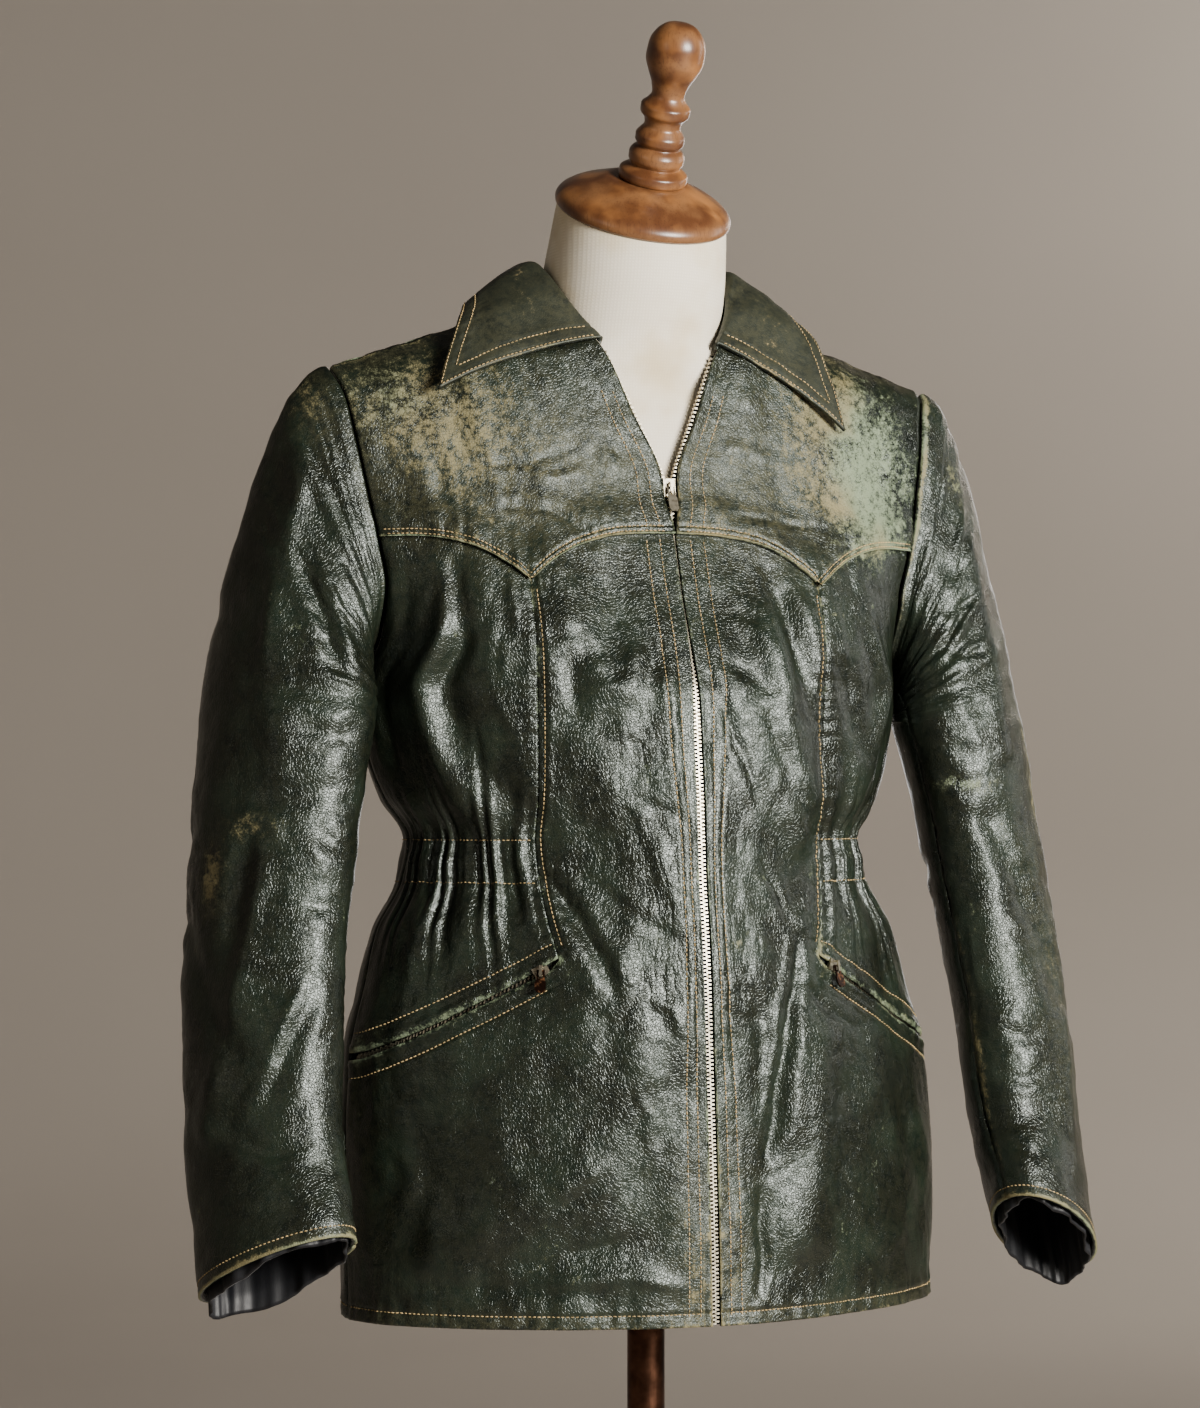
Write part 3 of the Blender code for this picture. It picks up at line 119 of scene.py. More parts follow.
# Where the visible chain of the front zip runs. Columns: row, half the distance between the two rows of teeth.
CHAIN_ROWS = np.array([
    (705, 0.15), (1231, 0.15), (1238, 1.7), (1245, 3.6), (1262, 11.0), (1280, 19.0), (1320, 38.3),
], float)
# Sleeve rings from the top of the arm to the cuff, one table for both sides.
# Columns: height with its sign turned, centre_x, centre_y, long_radius, short_radius.
SLEEVE_ROWS = np.array([
    (-1085, 238, 20, 61, 44),
    (-1030, 247, 13, 58, 41),
    (-960, 256, 3, 56, 39),
    (-900, 262, -9, 55, 38),
    (-820, 265, -24, 54, 36),
    (-746, 265, -52, 53, 34),
], float)
CUFF_SLOPE_OUT = {1: 0.38, -1: 0.10}    # the cuff drops towards the outer side
CUFF_SLOPE_BACK = {1: 0.42, -1: 0.48}   # and towards the back
CUFF_BEND = 110.0                       # length over which the rings turn to the cuff's slope
SLEEVE_TURN = math.radians(50)          # the long radius runs from the inner front to the outer back
INNER_ANGLE = math.radians(140)         # ring angle of the innermost line
CAP_REACH, CAP_LIFT, CAP_DROP = 0.125, 0.02, 0.47
ARMHOLE_GAP = 0.9
FRONT_SLEEVE_SEAM, BACK_SLEEVE_SEAM = 0.03, 0.66
SLEEVE_GIRTH, SLEEVE_LENGTH = 300.0, 345.0   # mm for a whole share round, and for each of the two stretches down

# Folds of the body under their surface and side; side 1 is the wearer's left.
# Columns: across_0 (share), height_0, across_1 (share), height_1, half_width, rise, in mm but for the shares.
BODY_FOLDS = {
    ("front", -1): (
        (0.74, 1170, 0.60, 1010, 14, 5.0),
        (0.62, 1130, 0.50, 1030, 12, -3.0),
        (0.26, 930, 0.18, 860, 12, 3.0),
        (0.30, 800, 0.62, 755, 15, 3.5),
        (0.20, 760, 0.50, 735, 12, -2.5),
    ),
    ("front", 1): (
        (0.12, 1175, 0.37, 1015, 13, 4.5),
        (0.22, 1165, 0.40, 1060, 12, -3.0),
        (0.16, 1090, 0.36, 1010, 11, 3.5),
        (0.33, 880, 0.24, 760, 16, 6.0),
        (0.18, 900, 0.12, 740, 11, -3.0),
        (0.66, 1130, 0.60, 1030, 12, 3.0),
    ),
    ("back", -1): (
        (0.30, 1230, 0.55, 1060, 16, 4.0),
        (0.55, 930, 0.50, 790, 18, 5.0),
    ),
    ("back", 1): (
        (0.34, 1220, 0.60, 1075, 16, 4.0),
        (0.48, 940, 0.42, 770, 18, 5.0),
    ),
}
SIDE_GATHERS, BACK_GATHERS = 10, 18      # folds that the elastic makes in each panel
GATHER_DEPTH, WAIST_PUFF = 2.0, 2.2
SKIRT_SWAY = 3.5

# Folds of the sleeves under their side. Columns: round_0, down_0, round_1, down_1, half_width, rise.
SLEEVE_FOLDS = {
    -1: (
        (0.40, 0.35, 0.30, 1.10, 11, 3.5),
        (0.52, 1.35, 0.36, 1.60, 10, -3.0),
        (0.32, 1.45, 0.42, 1.75, 10, 3.0),
        (0.80, 1.30, 0.62, 1.50, 12, -3.5),
    ),
    1: (
        (0.34, 0.40, 0.26, 1.05, 11, 3.5),
        (0.20, 1.20, 0.34, 1.55, 11, -3.0),
        (0.36, 1.40, 0.30, 1.80, 10, 3.0),
        (0.80, 1.35, 0.64, 1.55, 12, -3.5),
    ),
}

# Collar, by its edges from the centre back to the front corner. Columns: share of the way, x, y, z.
COLLAR_FOLD = np.array([
    (0.00, 0, 93, 1387), (0.22, 40, 82, 1387), (0.42, 64, 54, 1387), (0.58, 70, 25, 1384),
    (0.75, 61, 0, 1362), (0.90, 49, -15, 1341), (1.00, 42, -23, 1331),
], float)
COLLAR_EDGE = {
    1: np.array([
        (0.00, 0, 121, 1324), (0.22, 55, 110, 1334), (0.42, 96, 72, 1349), (0.58, 113, 30, 1354),
        (0.75, 121, 3, 1341), (0.90, 127, -17, 1306), (1.00, 130, -29, 1277),
    ], float),
    -1: np.array([
        (0.00, 0, 121, 1324), (0.22, 55, 110, 1334), (0.42, 97, 72, 1349), (0.58, 114, 30, 1354),
        (0.75, 127, 5, 1342), (0.90, 142, -12, 1316), (1.00, 152, -24, 1293),
    ], float),
}
COLLAR_WALL = 2.2

# Dress form, by its rings (mm). Columns: height, centre_y, half_width, front depth, back depth, tilt in degrees.
FORM_ROWS = np.array([
    (800, 20, 150, 80, 88, 0),
    (806, 20, 158, 86, 94, 0),
    (850, 20, 164, 88, 96, 0),
    (900, 20, 158, 86, 90, 0),
    (960, 20, 137, 78, 76, 0),
    (1000, 20, 131, 75, 70, 0),
    (1050, 20, 143, 78, 76, 0),
    (1100, 20, 162, 82, 82, 0),
    (1150, 20, 168, 76, 84, 0),
    (1200, 20, 168, 60, 84, 0),
    (1240, 20, 163, 50, 80, 0),
    (1275, 22, 152, 46, 74, 0),
    (1300, 26, 122, 45, 64, 0),
    (1317, 30, 86, 54, 60, 0),
    (1333, 31, 65, 58, 60, 0),
    (1352, 27, 61, 60, 60, 3),
    (1374, 21, 60.5, 60, 60, 10),
    (1398, 13, 58.5, 58, 58, 19),
    (1418, 6.5, 56.5, 56.5, 56.5, 28),
], float)
CAP_TILT = math.radians(28)
CAP_CENTRE = np.array((0.0, 6.5, 1418.0))
FINIAL_OFFSET = np.array((2.5, 0.0, 0.0))
# Turned profiles. Columns: radius, height along the piece's own axis.
CAP_PROFILE = (
    (0, 0.3), (56.0, 0.3), (58.2, 2.0), (58.6, 4.5), (57.6, 7.5), (53.0, 12.0), (45.0, 16.5),
    (35.0, 20.5), (25.0, 24.0), (0, 24.0),
)
FINIAL_PROFILE = (
    (0, 24.3), (21.5, 24.3), (22.8, 26.8), (22.6, 30.2), (19.5, 33.0), (16.4, 35.0), (18.2, 38.2), (18.4, 42.0),
    (16.6, 45.6), (14.2, 48.0), (16.2, 51.0), (16.3, 54.6), (14.0, 58.4), (12.0, 61.6), (12.8, 65.8),
    (16.2, 70.0), (16.4, 74.4), (13.0, 78.4), (10.8, 82.6), (12.4, 89.6), (16.4, 98.0), (19.0, 106.6),
    (18.6, 115.4), (14.6, 124.2), (7.6, 129.4), (0, 130.4),
)
POLE_RADIUS = 12.2
BASE_PROFILE = ((0, 0), (168, 0), (170, 2), (170, 9), (164, 14), (110, 22), (40, 31), (24, 44), (17, 46), (0, 46))


# ---------------------------------------------------------------- tables and curves


def table_slopes(x, y):
    """Slope at each row of a table, flat where a column turns, so that no column overshoots."""
    step = np.diff(x)[:, None]
    rise = np.diff(y, axis=0) / step
    slope = np.zeros_like(y)
    slope[0], slope[-1] = rise[0], rise[-1]
    before, after = rise[:-1], rise[1:]
    same = before * after > 0
    both = np.where(same, before + after, 1.0)
    slope[1:-1] = np.where(same, 2 * before * after / both, 0.0)
    return slope


def read_table(table, key):
    """The columns after the first, read at key by a cubic through the rows."""
    x, y = table[:, 0], table[:, 1:]
    slope = table_slopes(x, y)
    key = np.asarray(key, float)
    i = np.clip(np.searchsorted(x, key, side="right") - 1, 0, len(x) - 2)
    step = (x[i + 1] - x[i])[..., None]
    s = np.clip((key - x[i])[..., None] / step, 0, 1)
    s2, s3 = s * s, s * s * s
    return ((2 * s3 - 3 * s2 + 1) * y[i] + (s3 - 2 * s2 + s) * step * slope[i]
            + (3 * s2 - 2 * s3) * y[i + 1] + (s3 - s2) * step * slope[i + 1])


def bezier(p0, p1, p2, p3, t):
    """A cubic from p0 to p3 that leaves towards p1 and comes in from p2."""
    t = np.asarray(t, float)[..., None]
    r = 1 - t
    return r * r * r * p0 + 3 * r * r * t * p1 + 3 * r * t * t * p2 + t * t * t * p3


def run_along(points):
    """Length along a path at each of its points, from 0."""
    return np.concatenate([[0], np.cumsum(np.linalg.norm(np.diff(points, axis=0), axis=1))])


def smooth_step(x, lo, hi):
    """0 up to lo, 1 from hi, and a cubic between."""
    s = np.clip((np.asarray(x, float) - lo) / (hi - lo), 0, 1)
    return s * s * (3 - 2 * s)


def hump(offset, half):
    """1 on a line and close to 0 at twice half away from it."""
    return np.exp(-((offset / half) ** 2))


# ---------------------------------------------------------------- body


def front_base(t, v):
    """A point of the front in mm: t runs from the zip edge (0) to the side seam or armhole (1), v is the row."""
    c = read_table(FRONT_ROWS, v)
    p0, p3 = c[..., 0:3], c[..., 3:6]
    dx, dy, dz = np.abs(p3 - p0)[..., 0], np.abs(p3 - p0)[..., 1], (p3 - p0)[..., 2]
    angle = np.radians(c[..., 8])
    reach = c[..., 7] * (dx * np.cos(angle) + dy * np.sin(angle))
    zero = np.zeros_like(dx)
    p1 = p0 + np.stack([c[..., 6] * dx, zero, c[..., 6] * dz], -1)
    p2 = p3 - np.stack([reach * np.cos(angle), reach * np.sin(angle), c[..., 7] * dz], -1)
    return bezier(p0, p1, p2, p3, t)


def back_base(t, v):
    """A point of the back in mm: t runs from the side seam or armhole (0) to the centre back or neckline (1)."""
    c = read_table(BACK_ROWS, v)
    p0, p3 = c[..., 0:3], c[..., 3:6]
    below_arm = (np.asarray(v, float) <= UNDERARM)[..., None]
    p0 = np.where(below_arm, read_table(FRONT_ROWS, v)[..., 3:6], p0)
    dx, dy, dz = np.abs(p3 - p0)[..., 0], np.abs(p3 - p0)[..., 1], (p3 - p0)[..., 2]
    angle = np.radians(c[..., 8])
    reach = c[..., 6] * (dx * np.abs(np.cos(angle)) + dy * np.sin(angle))
    zero = np.zeros_like(dx)
    p1 = p0 + np.stack([reach * np.cos(angle), reach * np.sin(angle), c[..., 6] * dz], -1)
    p2 = p3 + np.stack([c[..., 7] * dx, zero, -c[..., 7] * dz], -1)
    return bezier(p0, p1, p2, p3, t)


BASES = {"front": front_base, "back": back_base}


def yoke_seam(x):
    """Height of the scalloped yoke seam over x: a long arc from the centre to the point, a short one beyond."""
    x = np.abs(np.asarray(x, float))
    inner = YOKE_POINT_Z + YOKE_CENTRE_RISE * (1 - np.clip(x / YOKE_POINT_X, 0, 1) ** 3.2)
    s = np.clip((x - YOKE_POINT_X) / YOKE_SIDE_RUN, 0, 1)
    outer = YOKE_POINT_Z + YOKE_SIDE_RISE * (1 - (1 - s) ** 2.4)
    return np.where(x < YOKE_POINT_X, inner, outer)


def pocket_line(x):
    """Height of the pocket zip over x, a straight slant."""
    share = (np.abs(x) - POCKET_X) / (POCKET_END_X - POCKET_X)
    return POCKET_Z + (POCKET_END_Z - POCKET_Z) * share


def row_share(base, x, v, lo, hi, outward):
    """The t from lo to hi at which a row of the surface is x mm from the centre, by halving.

    outward is 1 where x grows along the row and -1 where it shrinks."""
    x, v = np.broadcast_arrays(np.asarray(x, float), np.asarray(v, float))
    a, b = np.full(x.shape, lo), np.full(x.shape, hi)
    for _ in range(40):
        m = (a + b) / 2
        short = outward * base(m, v)[..., 0] < outward * x
        a, b = np.where(short, m, a), np.where(short, b, m)
    return (a + b) / 2


def across_at(x, v):
    """The t at which front row v is x mm from the centre."""
    return row_share(front_base, x, v, -0.2, 1.0, 1)


def along_line(line, t, v, offset=0.0):
    """The rows at which columns t meet a seam given as a height over x, by repeated substitution from v."""
    v = np.full(np.shape(t), float(v))
    for _ in range(6):
        v = line(front_base(t, v)[..., 0]) + offset
    return v


PRINCESS_ROWS = np.array([(900, 88), (932, 90), (960, 95), (1009, 99), (1100, 100), (1190, 100)], float)


def princess(v):
    """The t of the seam from the yoke point to the pocket."""
    v = np.asarray(v, float)
    return across_at(read_table(PRINCESS_ROWS, v)[..., 0], v)


def segment_distance(a, b, a0, b0, a1, b1):
    """Distance of (a, b) from the straight line between two points, ends included."""
    da, db = a1 - a0, b1 - b0
    s = np.clip(((a - a0) * da + (b - b0) * db) / (da * da + db * db), 0, 1)
    return np.hypot(a - a0 - s * da, b - b0 - s * db)


def fold_relief(surface, side, t, v):
    """Soft ridges and troughs, each a bell across its line, faded near the zip, the seams and the top, and weakened
    at the hem.
    """
    out = np.zeros(np.broadcast(t, v).shape)
    for t0, v0, t1, v1, half, rise in BODY_FOLDS[surface, side]:
        far = segment_distance(t * QUARTER_GIRTH, v, t0 * QUARTER_GIRTH, v0, t1 * QUARTER_GIRTH, v1)
        out = out + rise * hump(far, half)
    centre = smooth_step(t, 0.04, 0.16) if surface == "front" else 1.0
    side_fade = smooth_step(1 - t, 0.0, 0.08) if surface == "front" else smooth_step(t, 0.0, 0.08)
    top = smooth_step(1172 - v, 0, 50) if surface == "front" else smooth_step(SHOULDER - v, 100, 150)
    hem = 0.4 + 0.6 * smooth_step(v, HEM, HEM + 40)
    return out * centre * side_fade * top * hem


def sway(v):
    """How far the skirt hangs towards the wearer's left."""
    return SKIRT_SWAY * (1 - smooth_step(v, HEM, WAIST_LOW))


def on_body(surface, side, t, v, lift=0.0, relief=None):
    """Points of the worn cloth's outer face in mm, moved out by lift, and the outward normals."""
    base = BASES[surface]
    t, v = np.broadcast_arrays(np.asarray(t, float), np.asarray(v, float))
    step_t, step_v = 0.004, 1.0
    t_lo = np.maximum(t - step_t, -0.2 if surface == "front" else 0.0)
    t_hi = np.minimum(t + step_t, 1.0)
    v_lo, v_hi = np.maximum(v - step_v, HEM), np.minimum(v + step_v, SHOULDER)
    along = base(t_hi, v) - base(t_lo, v)
    up = base(t, v_hi) - base(t, v_lo)
    normal = np.cross(along, up)
    normal /= np.linalg.norm(normal, axis=-1, keepdims=True)
    high = fold_relief(surface, side, t, v) + lift
    if relief is not None:
        high = high + relief
    point = base(t, v) + high[..., None] * normal
    mirror = np.array([side, 1.0, 1.0])
    shift = np.stack([sway(v), 0 * v, 0 * v], -1)
    return point * mirror + shift, normal * mirror


# ---------------------------------------------------------------- sleeve


def armhole_loop():
    """The armhole as a closed curve: from the underarm up the front, over the shoulder and down the back."""
    v = np.linspace(UNDERARM, SHOULDER, 160)
    front = front_base(np.ones_like(v), v)
    back = back_base(np.zeros_like(v), v)[::-1]
    loop = np.concatenate([front, back[1:]])
    run = run_along(loop)
    half = run[len(v) - 1]
    share = np.where(run < half, 0.5 * run / half, 0.5 + 0.5 * (run - half) / (run[-1] - half))
    return share, loop


ARMHOLE_SHARE, ARMHOLE = armhole_loop()


def sleeve_ring(side, share, height):
    """Points of a ring round the arm: a slanted ellipse that turns to the cuff's slope near its end."""
    c = read_table(SLEEVE_ROWS, -height)
    angle = INNER_ANGLE + 2 * math.pi * share
    wide, deep = c[..., 2] * np.cos(angle), c[..., 3] * np.sin(angle)
    dx = wide * math.cos(SLEEVE_TURN) - deep * math.sin(SLEEVE_TURN)
    dy = wide * math.sin(SLEEVE_TURN) + deep * math.cos(SLEEVE_TURN)
    bend = smooth_step(CUFF_BEND - (height + SLEEVE_ROWS[-1, 0]), 0, CUFF_BEND)
    dz = -bend * (CUFF_SLOPE_OUT[side] * dx + CUFF_SLOPE_BACK[side] * dy)
    beyond = np.minimum(height + SLEEVE_ROWS[-1, 0], 0)
    return np.stack([c[..., 0] + dx, c[..., 1] + dy + 0.2 * beyond, height + dz], -1)


def sleeve_base(side, share, down):
    """Down from 0 to 1 is the cap, a Bezier from the armhole to the top ring, and from 1 to 2 the arm."""
    share, down = np.broadcast_arrays(np.asarray(share, float), np.asarray(down, float))
    top, cuff = -SLEEVE_ROWS[0, 0], -SLEEVE_ROWS[-1, 0]
    loop = np.mod(share, 1.0)
    p0 = np.stack([np.interp(loop, ARMHOLE_SHARE, ARMHOLE[:, i]) for i in range(3)], -1)
    p0[..., 0] += ARMHOLE_GAP
    p3 = sleeve_ring(side, share, np.full(share.shape, top))
    far = np.linalg.norm(p3 - p0, axis=-1)[..., None]
    p1 = p0 + far * np.array([CAP_REACH, 0, CAP_LIFT])
    p2 = p3 + CAP_DROP * far * np.array([-0.16, 0.10, 0.98])
    cap = bezier(p0, p1, p2, p3, np.clip(down, 0, 1))
    arm = sleeve_ring(side, share, top + (cuff - top) * np.maximum(down - 1, 0))
    return np.where((down < 1)[..., None], cap, arm)


def sleeve_fold_relief(side, share, down):
    """Soft ridges and troughs of a sleeve, each a bell across its line, gone at the cap and the cuff."""
    out = np.zeros(np.broadcast(share, down).shape)
    x, y = share * SLEEVE_GIRTH, down * SLEEVE_LENGTH
    for s0, d0, s1, d1, half, rise in SLEEVE_FOLDS[side]:
        far = segment_distance(x, y, s0 * SLEEVE_GIRTH, d0 * SLEEVE_LENGTH, s1 * SLEEVE_GIRTH, d1 * SLEEVE_LENGTH)
        out = out + rise * hump(far, half)
    return out * smooth_step(down, 0.1, 0.4) * smooth_step(2.0 - down, 0.0, 0.15)


def on_sleeve(side, share, down, lift=0.0):
    """Points of a sleeve's outer face in mm, moved out by its folds and lift, and the outward normals."""
    share, down = np.broadcast_arrays(np.asarray(share, float), np.asarray(down, float))
    step_s, step_d = 0.004, 0.004
    along = sleeve_base(side, share + step_s, down) - sleeve_base(side, share - step_s, down)
    fall = sleeve_base(side, share, down + step_d) - sleeve_base(side, share, np.maximum(down - step_d, 0))
    normal = np.cross(fall, along)
    normal /= np.linalg.norm(normal, axis=-1, keepdims=True)
    high = sleeve_fold_relief(side, share, down) + lift
    point = sleeve_base(side, share, down) + high[..., None] * normal
    mirror = np.array([side, 1.0, 1.0])
    return point * mirror, normal * mirror


# ---------------------------------------------------------------- creases seen in the hide

